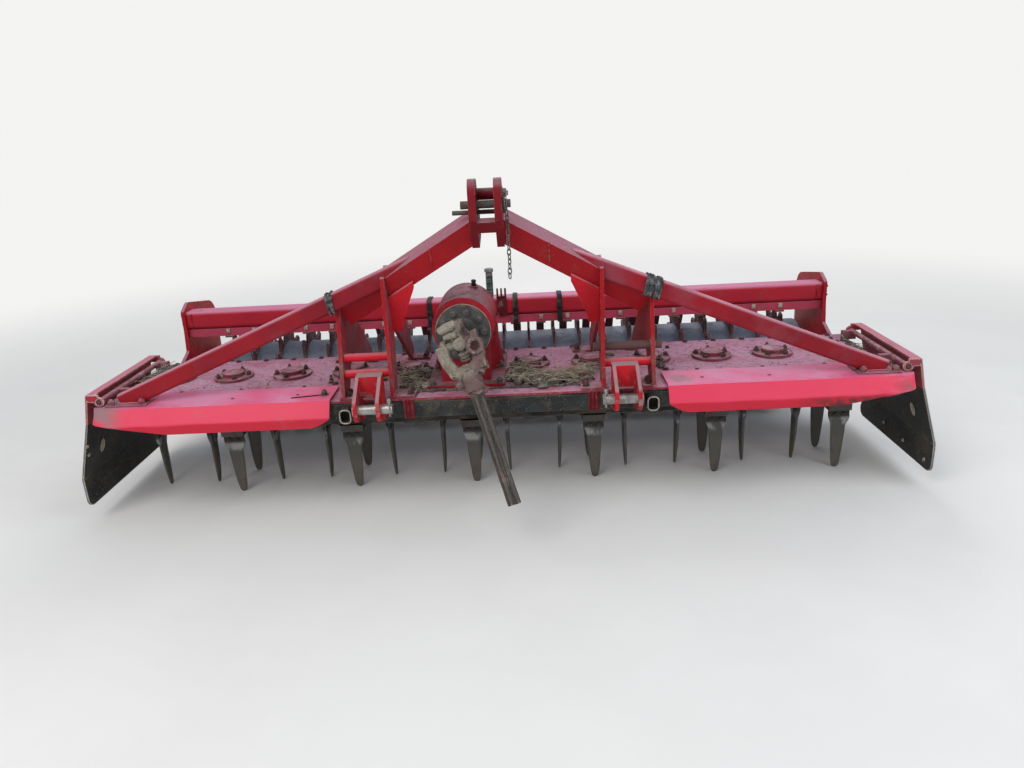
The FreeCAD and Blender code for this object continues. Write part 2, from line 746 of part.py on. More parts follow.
beam_way = FreeCAD.Vector(1, 0, 0) * math.cos(slope) - rise_way * math.sin(slope)
beam_up = FreeCAD.Vector(1, 0, 0) * math.sin(slope) + rise_way * math.cos(slope)
clevis_outer = size.clevis_gap / 2 + size.clevis_thick
beam_reach = (size.outer_plate_place + size.plate_thick / 2) / math.cos(slope)
FAR = 3000
inside_clevis = Part.makeBox(FAR, 2 * FAR, FAR, FreeCAD.Vector(clevis_outer - FAR, -FAR, 0))
past_plate = Part.makeBox(FAR, 2 * FAR, FAR,
                          FreeCAD.Vector(size.outer_plate_place - size.plate_thick / 2, -FAR, 0))
main_beam = square_tube(beam_corner, beam_way, beam_up, size.beam_size, size.beam_size, size.beam_wall,
                        beam_reach).cut([inside_clevis, past_plate])
beam_solid = square_bar(beam_corner, beam_way, beam_up, size.beam_size, size.beam_size, beam_reach)
shaped("main_beams", pair(main_beam))


def beam_top(place):
    """Y and Z of the beam's top front edge at one distance from the middle, as formulas."""
    fall = f"({place}) * tan(beam_slope)"
    return (f"-beam_top_front_reach + {fall} * sin(headstock_lean)",
            f"beam_top_height - {fall} * cos(headstock_lean)")


# The headstock's plates: each has a front leg and a slanting rear leg, and carries the beam.
# The beams pass through the inner plates and end at the outer ones.
CROSS_BORES = [(behind("-cross_tube_reach"), "lid_top + cross_tube_height", "cross_tube_radius")]
plates = []
right_plates = []
for name, side in SIDES:
    for kind, place in (("inner", "inner_plate_place"), ("outer", "outer_plate_place")):
        top_y, top_z = beam_top(place)
        start = across(side, f"{place} - plate_thick / 2", f"{place} + plate_thick / 2")[0]
        solid = plate(f"headstock_{kind}_{name}", "x", start, "plate_thick", [
            (behind("-plate_front"), "lid_top + foot_thick"),
            (behind(f"{top_y} - plate_margin"), f"lid_top + {top_z} + plate_margin / 2"),
            (behind(f"{top_y} + beam_size * cos(headstock_lean) + plate_margin"),
             f"lid_top + {top_z} + beam_size * sin(headstock_lean) + plate_margin / 2", "plate_margin"),
            (behind("plate_rear_foot"), "lid_top + foot_thick + plate_rear_leg / 2"),
            (behind("plate_rear_foot"), "lid_top + foot_thick"),
            (behind("plate_rear_foot - plate_rear_leg"), "lid_top + foot_thick"),
            (behind(f"{top_y} + plate_leg + plate_margin"), f"lid_top + {top_z} - plate_crown",
             "plate_margin"),
            (behind("-plate_front + plate_leg"), "lid_top + foot_thick"),
        ], CROSS_BORES)
        doc.recompute()
        whole = solid.Shape.copy()
        plates.append(whole.cut(mirrored(beam_solid, side)) if kind == "inner" else whole)
        if side > 0:
            right_plates.append(solid.Shape.copy())
        solid.Label = f"outline_of_{kind}_{name}"
shaped("headstock_plates", Part.Compound(plates))

# Feet under the legs, bolted to the lid.
feet = []
for name, side in SIDES:
    for kind, place in (("inner", "inner_plate_place"), ("outer", "outer_plate_place")):
        for end, near, far in (("front", "-plate_front", "-plate_front + plate_leg"),
                               ("rear", "plate_rear_foot - plate_rear_leg", "plate_rear_foot")):
            reach = "foot_width" if kind == "inner" else "foot_width / 2"
            x = across(side, f"{place} - {reach}", f"{place} + plate_thick")
            feet.append(block(f"foot_{end}_{kind}_{name}", x, (behind(near), behind(far)),
                              ("lid_top", "lid_top + foot_thick")))
piece(beside("headstock_feet", feet), "headstock_feet")

# Tubes between the plates. The right one is longer and stands out past its plates.
tubes = []
for name, side in SIDES:
    tail = "plate_thick / 2" if side < 0 else "cross_tube_tail"
    start, end = across(side, f"inner_plate_place - {tail}", f"outer_plate_place + {tail}")
    tubes.append(rod(f"cross_tube_{name}", "x",
                     (start, behind("-cross_tube_reach"), "lid_top + cross_tube_height"),
                     "cross_tube_radius - cross_tube_fit", f"({end}) - ({start})"))
    start, end = across(side, "inner_plate_place + plate_thick / 2", "outer_plate_place - plate_thick / 2")
    tubes.append(rod(f"lower_tube_{name}", "x",
                     (start, behind("-lower_tube_reach"), "lid_top + lower_tube_height"),
                     "lower_tube_radius", f"({end}) - ({start})"))
piece(beside("headstock_tubes", tubes), "headstock_tubes")


def leaning_plate(points, thick):
    """A plate on the front of the beams. Points count from the beams' crossing edge."""
    ring = [beam_corner + FreeCAD.Vector(1, 0, 0) * x + rise_way * rise for x, rise in points]
    return Part.Face(Part.makePolygon(ring + ring[:1])).extrude(face_way * thick)


def beam_low(x):
    """How far below the crossing edge the beam's lower edge lies, in the leaning plane."""
    return -x * math.tan(slope) - size.beam_size / math.cos(slope)


# Gussets in the corners between the beams and the inner plates. They lap the beams' fronts.
gusset_outer = size.inner_plate_place - size.plate_thick / 2
gusset_inner = gusset_outer - size.gusset_width
gusset_high = beam_low(gusset_outer) + size.gusset_lap
gusset_low = gusset_high - size.gusset_height
gusset = leaning_plate([
    (gusset_inner, beam_low(gusset_inner) + size.gusset_lap),
    (gusset_outer, gusset_high),
    (gusset_outer, gusset_low),
    (gusset_outer - size.gusset_foot, gusset_low),
    (gusset_outer - size.gusset_foot * 1.4, gusset_high - size.gusset_height * 0.6),
    (gusset_inner, beam_low(gusset_inner) + size.gusset_lap - size.gusset_edge),
], size.gusset_thick)
shaped("headstock_gussets", pair(gusset))

# The top clevis: two plates, a spacer tube behind the pin and a cross plate along their
# sloping lower fronts.
BEAM_TOP = "lid_top + beam_top_height"
SHOULDER = f"{BEAM_TOP} + clevis_shoulder"
TOE = f"{SHOULDER} + clevis_toe"
CLEVIS = [
    (behind("-clevis_front"), f"{TOE} + clevis_bottom"),
    (behind("-clevis_front"), f"{BEAM_TOP} + clevis_top", "clevis_round"),
    (behind("-clevis_crown_rear"), f"{BEAM_TOP} + clevis_top", "clevis_round"),
    (behind("-clevis_rear"), SHOULDER),
    (behind("-clevis_rear"), f"{SHOULDER} + clevis_heel"),
    (behind("-clevis_crown_rear"), TOE),
]
PIN_Y = behind("-clevis_pin_reach")
PIN_Z = f"{BEAM_TOP} + top_pin_height"
ROD_Z = f"{BEAM_TOP} + clevis_rod_height"
clevis_pieces = []
for name, side in SIDES:
    start = across(side, "clevis_gap / 2", "clevis_gap / 2 + clevis_thick")[0]
    clevis_pieces.append(plate("clevis_plate_" + name, "x", start, "clevis_thick", CLEVIS, [
        (PIN_Y, PIN_Z, "top_pin_radius + top_pin_fit"),
        (behind("-clevis_rod_reach"), ROD_Z, "clevis_rod_radius"),
    ]))
clevis_pieces.append(rod(
    "clevis_spacer", "x",
    ("-clevis_gap / 2", behind("-clevis_spacer_reach"), f"{BEAM_TOP} + clevis_spacer_height"),
    "clevis_spacer_radius", "clevis_gap"))
cross_section = []
for place, depth in (("clevis_cross_near", "0"), ("clevis_cross_far", "0"),
                     ("clevis_cross_far", "clevis_cross_thick"), ("clevis_cross_near", "clevis_cross_thick")):
    cross_section.append((
        behind(f"-clevis_front + {place} * (clevis_front - clevis_crown_rear) + {depth} * cos(45)"),
        f"{TOE} + (1 - {place}) * clevis_bottom + {depth} * sin(45)"))
clevis_pieces.append(plate("clevis_cross", "x", "-clevis_gap / 2", "clevis_gap", cross_section))
piece(joined("top_clevis", clevis_pieces), "top_clevis")

# Through the clevis go the top link's pin and, behind and below it, a thin rod with a long end.
PIN_TAIL = "clevis_gap / 2 + clevis_thick + top_pin_tail"
ROD_END = "clevis_gap / 2 + clevis_thick + clevis_rod_tail"
ROD_NEAR = "clevis_gap / 2 + clevis_thick + clevis_rod_radius"
piece(beside("clevis_pins", [
    rod("top_pin", "x", (f"-({PIN_TAIL})", PIN_Y, PIN_Z), "top_pin_radius", f"2 * ({PIN_TAIL})"),
    rod("clevis_rod", "x", (f"-({ROD_END})", behind("-clevis_rod_reach"), ROD_Z),
        "clevis_rod_radius - top_pin_fit", f"{ROD_END} + {ROD_NEAR}"),
]), "clevis_pins")

# A safety chain hangs from the pin's right end. Its first ring goes round the pin, and every
# second ring is turned.
eye_radius = size.top_pin_radius + size.chain_wire_radius + size.chain_eye_gap
eye = FreeCAD.Vector(clevis_outer + size.top_pin_tail / 2, size.rotor_line - size.clevis_pin_reach,
                     size.lid_top + size.beam_top_height + size.top_pin_height)
ring_step = 2 * (size.chain_ring_radius - size.chain_wire_radius) + size.chain_wire_radius / 2
rings = [Part.makeTorus(eye_radius, size.chain_wire_radius, eye, FreeCAD.Vector(1, 0, 0))]
first_drop = eye_radius + size.chain_ring_radius
for i in range(int(size.chain_rings)):
    centre = eye - FreeCAD.Vector(0, 0, first_drop + i * ring_step)
    turned_way = FreeCAD.Vector(1, 0, 0) if i % 2 else FreeCAD.Vector(0, 1, 0)
    rings.append(Part.makeTorus(size.chain_ring_radius, size.chain_wire_radius, centre, turned_way))
shaped("safety_chain", rings[0].multiFuse(rings[1:]))

# The lower link brackets: two ears each, closed by a crown whose front edge is folded down.
EAR_SPAN = "link_gap / 2 + link_ear_thick"
LINK_PIN = (behind("-link_pin_reach"), "lid_top + link_pin_height")
brackets = []
for name, side in SIDES:
    ears = []
    for kind, near, far in (("near", f"link_place - ({EAR_SPAN})", "link_place - link_gap / 2"),
                            ("far", "link_place + link_gap / 2", f"link_place + {EAR_SPAN}")):
        start = across(side, near, far)[0]
        ears.append(plate(f"link_ear_{kind}_{name}", "x", start, "link_ear_thick", [
            (behind("-lid_front"), "lid_top - link_ear_drop"),
            (LINK_PIN[0] + " - link_ear_round", LINK_PIN[1] + " - link_ear_round", "link_ear_round * 0.9"),
            (LINK_PIN[0] + " - link_ear_round", LINK_PIN[1] + " + link_ear_round", "link_ear_round * 0.5"),
            (behind("-lid_front - link_crown_depth"), "lid_top + link_crown - link_crown_fall"),
            (behind("-lid_front"), "lid_top + link_crown"),
        ], [(LINK_PIN[0], LINK_PIN[1], "link_pin_radius + link_pin_fit")]))
    start, end = across(side, "link_place - link_gap / 2", "link_place + link_gap / 2")
    crown_front = "-lid_front - link_crown_depth"
    ears.append(plate(f"link_crown_{name}", "x", start, "link_gap", [
        (behind("-lid_front"), "lid_top + link_crown"),
        (behind("-lid_front"), "lid_top + link_crown - link_ear_thick"),
        (behind(f"{crown_front} + link_ear_thick"), "lid_top + link_crown - link_ear_thick"),
        (behind(f"{crown_front} + link_ear_thick"), "lid_top + link_web_bottom"),
        (behind(crown_front), "lid_top + link_web_bottom"),
        (behind(crown_front), "lid_top + link_crown - link_crown_fall"),
    ]))
    brackets.append(joined("link_bracket_" + name, ears))
piece(beside("link_brackets", brackets), "link_brackets")

pins = []
for name, side in SIDES:
    start, end = across(side, f"link_place - ({EAR_SPAN}) - link_pin_inner_tail",
                        f"link_place + {EAR_SPAN} + link_pin_outer_tail")
    pins.append(rod("link_pin_" + name, "x", (start, LINK_PIN[0], LINK_PIN[1]), "link_pin_radius",
                    f"({end}) - ({start})"))
piece(beside("link_pins", pins), "link_pins")

# Short square sockets on the front bar, beside the brackets.
sockets = []
for name, side in SIDES:
    near, far = across(side, "socket_place - socket_width / 2", "socket_place + socket_width / 2")
    front = (behind("-lid_front - socket_length"), behind("-lid_front"))
    low, high = f"{DECK} - pan_wall - socket_height", f"{DECK} - pan_wall"
    sockets.append(without("socket_" + name, block("socket_outer_" + name, (near, far), front, (low, high)), [
        block("socket_hole_" + name, (f"{near} + socket_wall", f"{far} - socket_wall"),
              (f"{front[0]} - socket_wall", front[1]), (f"{low} + socket_wall", f"{high} - socket_wall")),
    ]))
piece(beside("bar_sockets", sockets), "bar_sockets")

# The braces run from behind the beams down to plates on the outer corners.
HOOD_TOP = "lid_top + hood_thick"
brace_plates = []
for name, side in SIDES:
    brace_plates.append(block(
        "brace_plate_" + name, across(side, "brace_plate_far - brace_plate_length", "brace_plate_far"),
        (behind("-brace_reach - brace_plate_width / 2"), behind("-brace_reach + brace_plate_width / 2")),
        (HOOD_TOP, f"{HOOD_TOP} + brace_plate_thick")))
piece(beside("brace_feet", brace_plates), "brace_feet")
brace_low_z = size.lid_top + size.hood_thick + size.brace_plate_thick
brace_top = size.beam_top_height - size.brace_top_drop
brace_run = FreeCAD.Vector(size.brace_foot_place - size.brace_top_place, 0,
                           size.brace_foot_height - brace_top)
brace_way = FreeCAD.Vector(brace_run).normalize()
brace_up = FreeCAD.Vector(-brace_way.z, 0, brace_way.x)
brace_start = FreeCAD.Vector(size.brace_top_place, size.rotor_line - size.brace_reach - size.brace_width / 2,
                             size.lid_top + brace_top) + brace_up * (size.brace_height / 2)
brace = square_tube(brace_start, brace_way, brace_up, size.brace_width, size.brace_height,
                    size.brace_wall, brace_run.Length + size.brace_height, size.brace_round)
below_foot = Part.makeBox(FAR, 2 * FAR, brace_low_z, FreeCAD.Vector(0, -FAR, 0))
brace = brace.cut([beam_solid, below_foot] + right_plates)
brace = max(brace.Solids, key=lambda solid: solid.Volume)
shaped("corner_braces", pair(brace))


def across_section(points, start, length):
    """A solid along X from a section in Y and Z. Depths count from the rotor line."""
    ring = [FreeCAD.Vector(start, size.rotor_line + y, size.lid_top + z) for y, z in points]
    return Part.Face(Part.makePolygon(ring + ring[:1])).extrude(FreeCAD.Vector(length, 0, 0))


# The hoods over the front corners: a bent sheet with a long chamfer towards its outer end,
# whose front reaches past the side plate's front edge as a tip.
sheet_skin = [(-size.hood_rear, size.hood_thick), (-size.hood_fold, size.hood_thick),
              (-size.hood_face_reach, -size.hood_face_drop), (-size.hood_lip_reach, -size.hood_lip_drop)]
sheet_back = [(-size.hood_lip_reach + size.hood_thick, -size.hood_lip_drop),
              (-size.hood_face_reach + size.hood_thick, -size.hood_face_drop + size.hood_thick / 2),
              (-size.hood_fold + size.hood_thick / 2, 0), (-size.hood_rear, 0)]
hood = across_section(sheet_skin + sheet_back, size.hood_inner_end, size.hood_tip_end - size.hood_inner_end)
low = size.lid_top - size.hood_lip_drop
chamfer = [FreeCAD.Vector(x, -FAR, z) for x, z in (
    (size.hood_chamfer_start, low), (size.hood_tip_end, low + size.hood_chamfer_rise),
    (size.hood_tip_end, low - size.hood_thick), (size.hood_chamfer_start, low - size.hood_thick))]
under_chamfer = Part.Face(Part.makePolygon(chamfer + chamfer[:1])).extrude(FreeCAD.Vector(0, FAR, 0))
behind_tip = Part.makeBox(FAR, FAR, FAR, FreeCAD.Vector(size.hood_outer_end,
                                                        size.rotor_line - size.hood_tip_rear, 0))
hood = hood.cut([under_chamfer, behind_tip])
shaped("front_hoods", pair(hood))

# Rods on the lid's outer ends carry the side plates, which swing outwards about them.
hinges = []
for name, side in SIDES:
    hinge_x = str(f"{side} * side_hinge_place")
    lugs = [rod("side_rod_" + name, "y", (hinge_x, behind("-side_front + side_ear_inset"),
                                          "lid_top + side_hinge_height"), "side_hinge_radius",
                "side_front + side_rear - 2 * side_ear_inset")]
    for end, near in (("front", "-hood_rear"), ("rear", "side_rear - side_lug_inset")):
        lugs.append(block(f"side_lug_{end}_{name}",
                          across(side, "side_hinge_place - side_lug_width",
                                 "side_hinge_place + side_hinge_radius"),
                          (behind(near), behind(f"{near} + side_lug_width / 2")),
                          ("lid_top", "lid_top + side_hinge_height + side_hinge_radius / 2")))
    hinges.append(joined("side_hinge_" + name, lugs))
piece(beside("side_hinges", hinges), "side_hinges")

# Each side plate: a folded head with an ear at each end, and a bent plate below it that
# reaches further back the lower it comes.
wall = size.side_thick
head_in = trough_end + size.side_gap
head_out = head_in + size.side_head_width
head_low = size.side_head_rise - size.side_head_height
low_out = head_out + size.side_head_lean
flare_out = low_out + size.side_flare
skin = [(head_in, size.side_head_rise), (head_out + wall, size.side_head_rise),
        (low_out + wall, head_low), (flare_out + wall, -size.side_flare_drop),
        (flare_out + wall, -size.side_bottom_drop), (flare_out, -size.side_bottom_drop),
        (flare_out, -size.side_flare_drop), (low_out, head_low),
        (head_out + size.side_head_lean * wall / size.side_head_height, size.side_head_rise - wall),
        (head_in, size.side_head_rise - wall)]
skin_ring = [FreeCAD.Vector(x, size.rotor_line - size.side_front, size.lid_top + z) for x, z in skin]
side_sheet = Part.Face(Part.makePolygon(skin_ring + skin_ring[:1])).extrude(
    FreeCAD.Vector(0, size.side_front + size.side_tail, 0))
HEAD_TOP = "lid_top + side_head_rise"
SIDE_LOW = "lid_top - side_bottom_drop"
side_outline = plate("side_outline", "x", TROUGH_END,
                     "side_gap + side_head_width + side_head_lean + side_flare + 2 * side_thick", [
                         (behind("-side_front"), HEAD_TOP),
                         (behind("-side_front"), SIDE_LOW, "side_corner"),
                         (behind("side_tail"), SIDE_LOW, "side_corner"),
                         (behind("side_rear"), f"{HEAD_TOP} - side_head_height"),
                         (behind("side_rear"), HEAD_TOP),
                     ])
doc.recompute()
side_sheet = side_sheet.common(side_outline.Shape)
side_solids = []
hinge_z = size.lid_top + size.side_hinge_height
for start in (-size.side_front, size.side_rear - wall):
    eye = FreeCAD.Vector(size.side_hinge_place, size.rotor_line + start, hinge_z)
    ear = Part.makeCylinder(size.side_eye_radius, wall, eye, FreeCAD.Vector(0, 1, 0))
    arm = Part.makeBox(head_out + wall / 2 - size.side_hinge_place, wall,
                       size.side_head_rise - size.side_hinge_height, eye)
    side_solids += [ear, arm]
bore = Part.makeCylinder(size.side_hinge_radius + size.side_hinge_fit, FAR,
                         FreeCAD.Vector(size.side_hinge_place, -FAR / 2, hinge_z), FreeCAD.Vector(0, 1, 0))
side_plate = side_sheet.multiFuse(side_solids).cut(bore).removeSplitter()
for name, side in SIDES:
    shaped("side_plate_" + name, mirrored(side_plate, side))

# Pins in the ears of the trough carry the arms of the roller's frame.
pins = []
for name, side in SIDES:
    start, end = across(side, f"{LUG_OUTER} - lug_thick - pivot_tail", f"{TROUGH_END} + pivot_tail")
    pins.append(rod("pivot_pin_" + name, "x", (start, PIVOT[0], PIVOT[1]), "pivot_radius",
                    f"({end}) - ({start})"))
piece(beside("pivot_pins", pins), "pivot_pins")

# The arms: end plates that hold the beam above and the roller's bearing below.
BEAM_LOW = "lid_top + rear_beam_rise"
for name, side in SIDES:
    start, end = across(side, ARM_INNER, ARM_OUTER)
    arm = plate("arm_plate_" + name, "x", start, "arm_thick", [
        (PIVOT[0] + " - pivot_radius * 2.2", f"{PIVOT[1]} - pivot_radius * 2.2", "pivot_radius * 2"),
        (PIVOT[0] + " - pivot_radius * 2.2", f"{PIVOT[1]} + pivot_radius * 2.2", "pivot_radius * 1.4"),
        (behind("rear_beam_reach - arm_margin * 2"), "lid_top + arm_step", "arm_margin"),
        (behind("rear_beam_reach - arm_margin"), BEAM_LOW, "arm_margin * 2"),
        (behind("rear_beam_reach - arm_margin"), f"{BEAM_LOW} + rear_beam_height + arm_margin / 2",
         "arm_margin"),
        (behind("rear_beam_reach + rear_beam_depth / 2"), f"{BEAM_LOW} + rear_beam_height + arm_crown",
         "arm_crown"),
        (behind("roller_reach + arm_rear"), f"{BEAM_LOW} + rear_beam_height - arm_margin", "arm_crown * 2"),
        (behind("roller_reach + bearing_radius * 1.3"), "roller_tip_radius + bearing_radius",
         "bearing_radius"),
        (behind("roller_reach + bearing_radius * 1.3"), "roller_tip_radius - bearing_radius * 1.3",
         "bearing_radius"),
        (behind("roller_reach - bearing_radius * 1.3"), "roller_tip_radius - bearing_radius * 1.3",
         "bearing_radius"),
        (behind("roller_reach - arm_rear * 2"), "roller_tip_radius + bearing_radius * 2", "bearing_radius"),
    ], [(PIVOT[0], PIVOT[1], "pivot_radius + pivot_fit"), (AXLE[0], AXLE[1], "stub_radius + stub_fit")])
    start, end = across(side, f"{ARM_INNER} - bearing_depth", ARM_INNER)
    bearing = without("bearing_" + name, rod("bearing_solid_" + name, "x", (start, AXLE[0], AXLE[1]),
                                             "bearing_radius", "bearing_depth"),
                      [rod("bearing_bore_" + name, "x", (f"{start} - arm_gap", AXLE[0], AXLE[1]),
                           "stub_radius + stub_fit", "bearing_depth + 2 * arm_gap")])
    piece(joined("roller_arm_" + name, [arm, bearing]), "roller_arm_" + name)

# The square beam between the arms.
beam_shells = []
for kind, inset, round_by in (("outer", "0", "rear_beam_round"),
                              ("inner", "rear_beam_wall", "rear_beam_round - rear_beam_wall")):
    front, rear = behind(f"rear_beam_reach + {inset}"), behind(f"rear_beam_reach + rear_beam_depth - {inset}")
    low_edge, top_edge = f"{BEAM_LOW} + {inset}", f"{BEAM_LOW} + rear_beam_height - {inset}"
    beam_shells.append(plate("rear_beam_" + kind, "x", f"-{ARM_INNER}", f"2 * {ARM_INNER}", [
        (front, low_edge, round_by), (front, top_edge, round_by),
        (rear, top_edge, round_by), (rear, low_edge, round_by),
    ]))
piece(without("rear_beam", beam_shells[0], [beam_shells[1]]), "rear_beam")

# The roller: a drum with stub axles and toothed rings, each ring turned a little further.
axle = FreeCAD.Vector(0, size.rotor_line + size.roller_reach, size.roller_tip_radius)
sideways = FreeCAD.Vector(1, 0, 0)
drum_half = arm_inner - size.bearing_depth - size.roller_end_gap
stub_half = arm_outer
drum = bar_along(axle - sideways * drum_half, sideways, size.drum_radius, 2 * drum_half)
hollow_half = drum_half - size.drum_wall
drum_hollow = bar_along(axle - sideways * hollow_half, sideways, size.drum_radius - size.drum_wall,
                        2 * hollow_half)
stubs = bar_along(axle - sideways * stub_half, sideways, size.stub_radius, 2 * stub_half)


def toothed_ring(x, twist):
    """One ring of the roller: teeth with narrow tips on a round root, seated on the drum."""
    step = 360 / size.ring_teeth
    ring = []
    for tooth in range(int(size.ring_teeth)):
        for angle, radius in ((0, size.roller_tip_radius), (step * 0.24, size.roller_tip_radius),
                              (step * 0.62, size.ring_root_radius), (step * 0.86, size.ring_root_radius)):
            turn = math.radians(twist + tooth * step + angle)
            ring.append(axle + FreeCAD.Vector(x - size.ring_thick / 2, radius * math.cos(turn),
                                              radius * math.sin(turn)))
    disc = Part.Face(Part.makePolygon(ring + ring[:1])).extrude(sideways * size.ring_thick)
    return disc


ring_places = [(i - (size.ring_count - 1) / 2) * size.ring_pitch for i in range(int(size.ring_count))]
toothed_rings = [toothed_ring(x, i * size.ring_twist) for i, x in enumerate(ring_places)]
roller = drum.multiFuse([stubs] + toothed_rings).cut(drum_hollow)
shaped("packer_roller", max(roller.Solids, key=lambda solid: solid.BoundBox.DiagonalLength))

# The scrapers: a bar under the beam, and bent straps under it that end in blades behind the drum.
bar_near = size.scraper_bar_reach
bar_far = bar_near + size.scraper_bar_size
bar_low = size.scraper_bar_rise
bar_high = bar_low + size.scraper_bar_size
shaped("scraper_bar", across_section([(bar_near, bar_low), (bar_far, bar_low), (bar_far, bar_high),
                                      (bar_near, bar_high)], -arm_inner, 2 * arm_inner))


def bent_strap(path, x, width):
    """A flat strap, bent along a path in Y and Z, centred on X."""
    half = size.scraper_thick / 2
    normals = []
    for (y_a, z_a), (y_b, z_b) in zip(path, path[1:]):
        run = math.hypot(y_b - y_a, z_b - z_a)
        normals.append((-(z_b - z_a) / run, (y_b - y_a) / run))
    upper = []
    lower = []
    for (y, z), before, after in zip(path, normals[:1] + normals, normals + normals[-1:]):
        reach = half / (1 + before[0] * after[0] + before[1] * after[1])
        step_y = (before[0] + after[0]) * reach
        step_z = (before[1] + after[1]) * reach
        upper.append((y + step_y, z + step_z))
        lower.append((y - step_y, z - step_z))
    return across_section(upper + lower[::-1], x - width / 2, width)


axle_z = size.roller_tip_radius - size.lid_top
rest_angle = math.radians(size.scraper_angle)
touch = size.drum_radius + size.scraper_clearance
strap_z = bar_low - size.scraper_thick / 2
over = size.roller_tip_radius + size.scraper_over
scraper_knee = (size.roller_reach + over * 0.98, axle_z + over * 0.42)
scraper_path = [(bar_near, strap_z), (size.roller_reach + over * 0.55, strap_z), scraper_knee]
blade_path = [scraper_knee, (size.roller_reach + touch * math.cos(rest_angle) + size.scraper_thick / 2,
                             axle_z + touch * math.sin(rest_angle))]
scrapers = []
for left_ring, right_ring in zip(ring_places, ring_places[1:]):
    middle = (left_ring + right_ring) / 2
    scrapers.append(bent_strap(scraper_path, middle, size.scraper_strap_width).fuse(
        bent_strap(blade_path, middle, size.scraper_blade_width)))
shaped("scrapers", Part.Compound(scrapers))

# A filler tube stands on the gearbox's base, behind the barrel.
FILLER = (f"{GEARBOX_X} + filler_offset", behind("filler_depth"), "lid_top + gearbox_base_thick")
piece(without("filler_tube", rod("filler_solid", "z", FILLER, "filler_radius",
                                 "filler_height - gearbox_base_thick"), [gearbox]), "filler_tube")

for thing in doc.Objects:
    if "Invalid" in thing.State or "Error" in thing.State:
        raise RuntimeError(f"{thing.Name} did not build: {thing.State}")
doc.recompute()
for thing in doc.Objects:
    if "Invalid" in thing.State or "Error" in thing.State:
        raise RuntimeError(f"{thing.Name} did not build: {thing.State}")
for thing in parts:
    if thing.Shape.isNull() or not thing.Shape.isValid():
        raise RuntimeError(f"{thing.Label} has no sound shape")
os.makedirs("parts", exist_ok=True)
for thing in parts:
    thing.Shape.exportStep(f"parts/{thing.Label}.step")
print(len(parts), "pieces")
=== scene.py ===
import math
import random

import bmesh
import bpy
from mathutils import Matrix, Vector, noise
from mathutils.bvhtree import BVHTree


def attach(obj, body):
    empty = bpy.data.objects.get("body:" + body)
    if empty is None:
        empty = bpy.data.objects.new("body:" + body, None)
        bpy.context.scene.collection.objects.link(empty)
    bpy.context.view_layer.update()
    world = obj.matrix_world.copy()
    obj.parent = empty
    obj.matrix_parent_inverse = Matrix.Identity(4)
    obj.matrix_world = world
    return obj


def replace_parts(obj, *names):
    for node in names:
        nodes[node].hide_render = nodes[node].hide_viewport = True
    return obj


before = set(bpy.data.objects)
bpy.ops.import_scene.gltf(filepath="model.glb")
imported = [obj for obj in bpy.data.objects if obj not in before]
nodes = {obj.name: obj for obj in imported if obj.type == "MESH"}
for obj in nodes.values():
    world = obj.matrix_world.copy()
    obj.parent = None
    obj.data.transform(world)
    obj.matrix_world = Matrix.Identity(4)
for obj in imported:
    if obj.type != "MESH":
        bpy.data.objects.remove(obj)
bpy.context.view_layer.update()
dice = random.Random(7)

# Places that scene pieces share with the solids, in metres. Depths are given from the rotors'
# line and heights from the lid's top, unless a comment says otherwise.
ROTOR_Y = -0.1236
LID = 0.475
GEARBOX_X = -0.125
INPUT_HEIGHT = 0.215
ROTORS = [(i - 5.5) * 0.25 for i in range(12)]
SCRAPERS = [(i - 10.5) * 0.122 for i in range(22)]
AXLE_BACK, AXLE_HEIGHT = 0.66, 0.255 - LID
TOP_PIN_BACK, TOP_PIN_HEIGHT = -0.455, 0.705
LOW_PIN_BACK, LOW_PIN_HEIGHT = -0.465, -0.001
SIDES = (-1, 1)
X, Y, UP = Vector((1, 0, 0)), Vector((0, 1, 0)), Vector((0, 0, 1))

# The universal joint: its centre, the two pins of its cross and the way its shaft hangs.
JOINT = Vector((GEARBOX_X, ROTOR_Y - 0.395, LID + INPUT_HEIGHT))
TURN, DROP = math.radians(18.8), math.radians(63.3)
TUBE_PIN = Vector((math.cos(TURN), 0, math.sin(TURN)))
INPUT_PIN = Vector((math.sin(TURN), 0, -math.cos(TURN)))
TUBE_WAY = (-Y * math.cos(DROP) + INPUT_PIN * math.sin(DROP)).normalized()
EYE = JOINT + Vector((0.053, -0.05, 0.001))
EYE_WAY = Vector((0.52, -0.8, 0.3)).normalized()
ROLLER_AXLE = (0, ROTOR_Y + AXLE_BACK, LID + AXLE_HEIGHT)

# The camera stands where the photograph was taken.
YAW, PITCH, ROLL = (math.radians(a) for a in (-1.65, -18.62, -3.07))
VIEWPOINT = (0.132, -3.2009, 1.4289)
camera_data = bpy.data.cameras.new("camera")
camera_data.lens = 27.11
camera_data.sensor_width = 36
camera = bpy.data.objects.new("camera", camera_data)
bpy.context.scene.collection.objects.link(camera)
camera.matrix_world = (Matrix.Translation(VIEWPOINT) @ Matrix.Rotation(-YAW, 4, "Z")
                       @ Matrix.Rotation(math.pi / 2 + PITCH, 4, "X") @ Matrix.Rotation(ROLL, 4, "Z"))
bpy.context.scene.camera = camera
bpy.context.scene.view_settings.view_transform = "Standard"


def round_steps(count):
    """The angles of a full turn in equal steps."""
    return [2 * math.pi * i / count for i in range(count)]


def shake(most):
    """A small random way."""
    return Vector(dice.uniform(-1, 1) * most for _ in range(3))


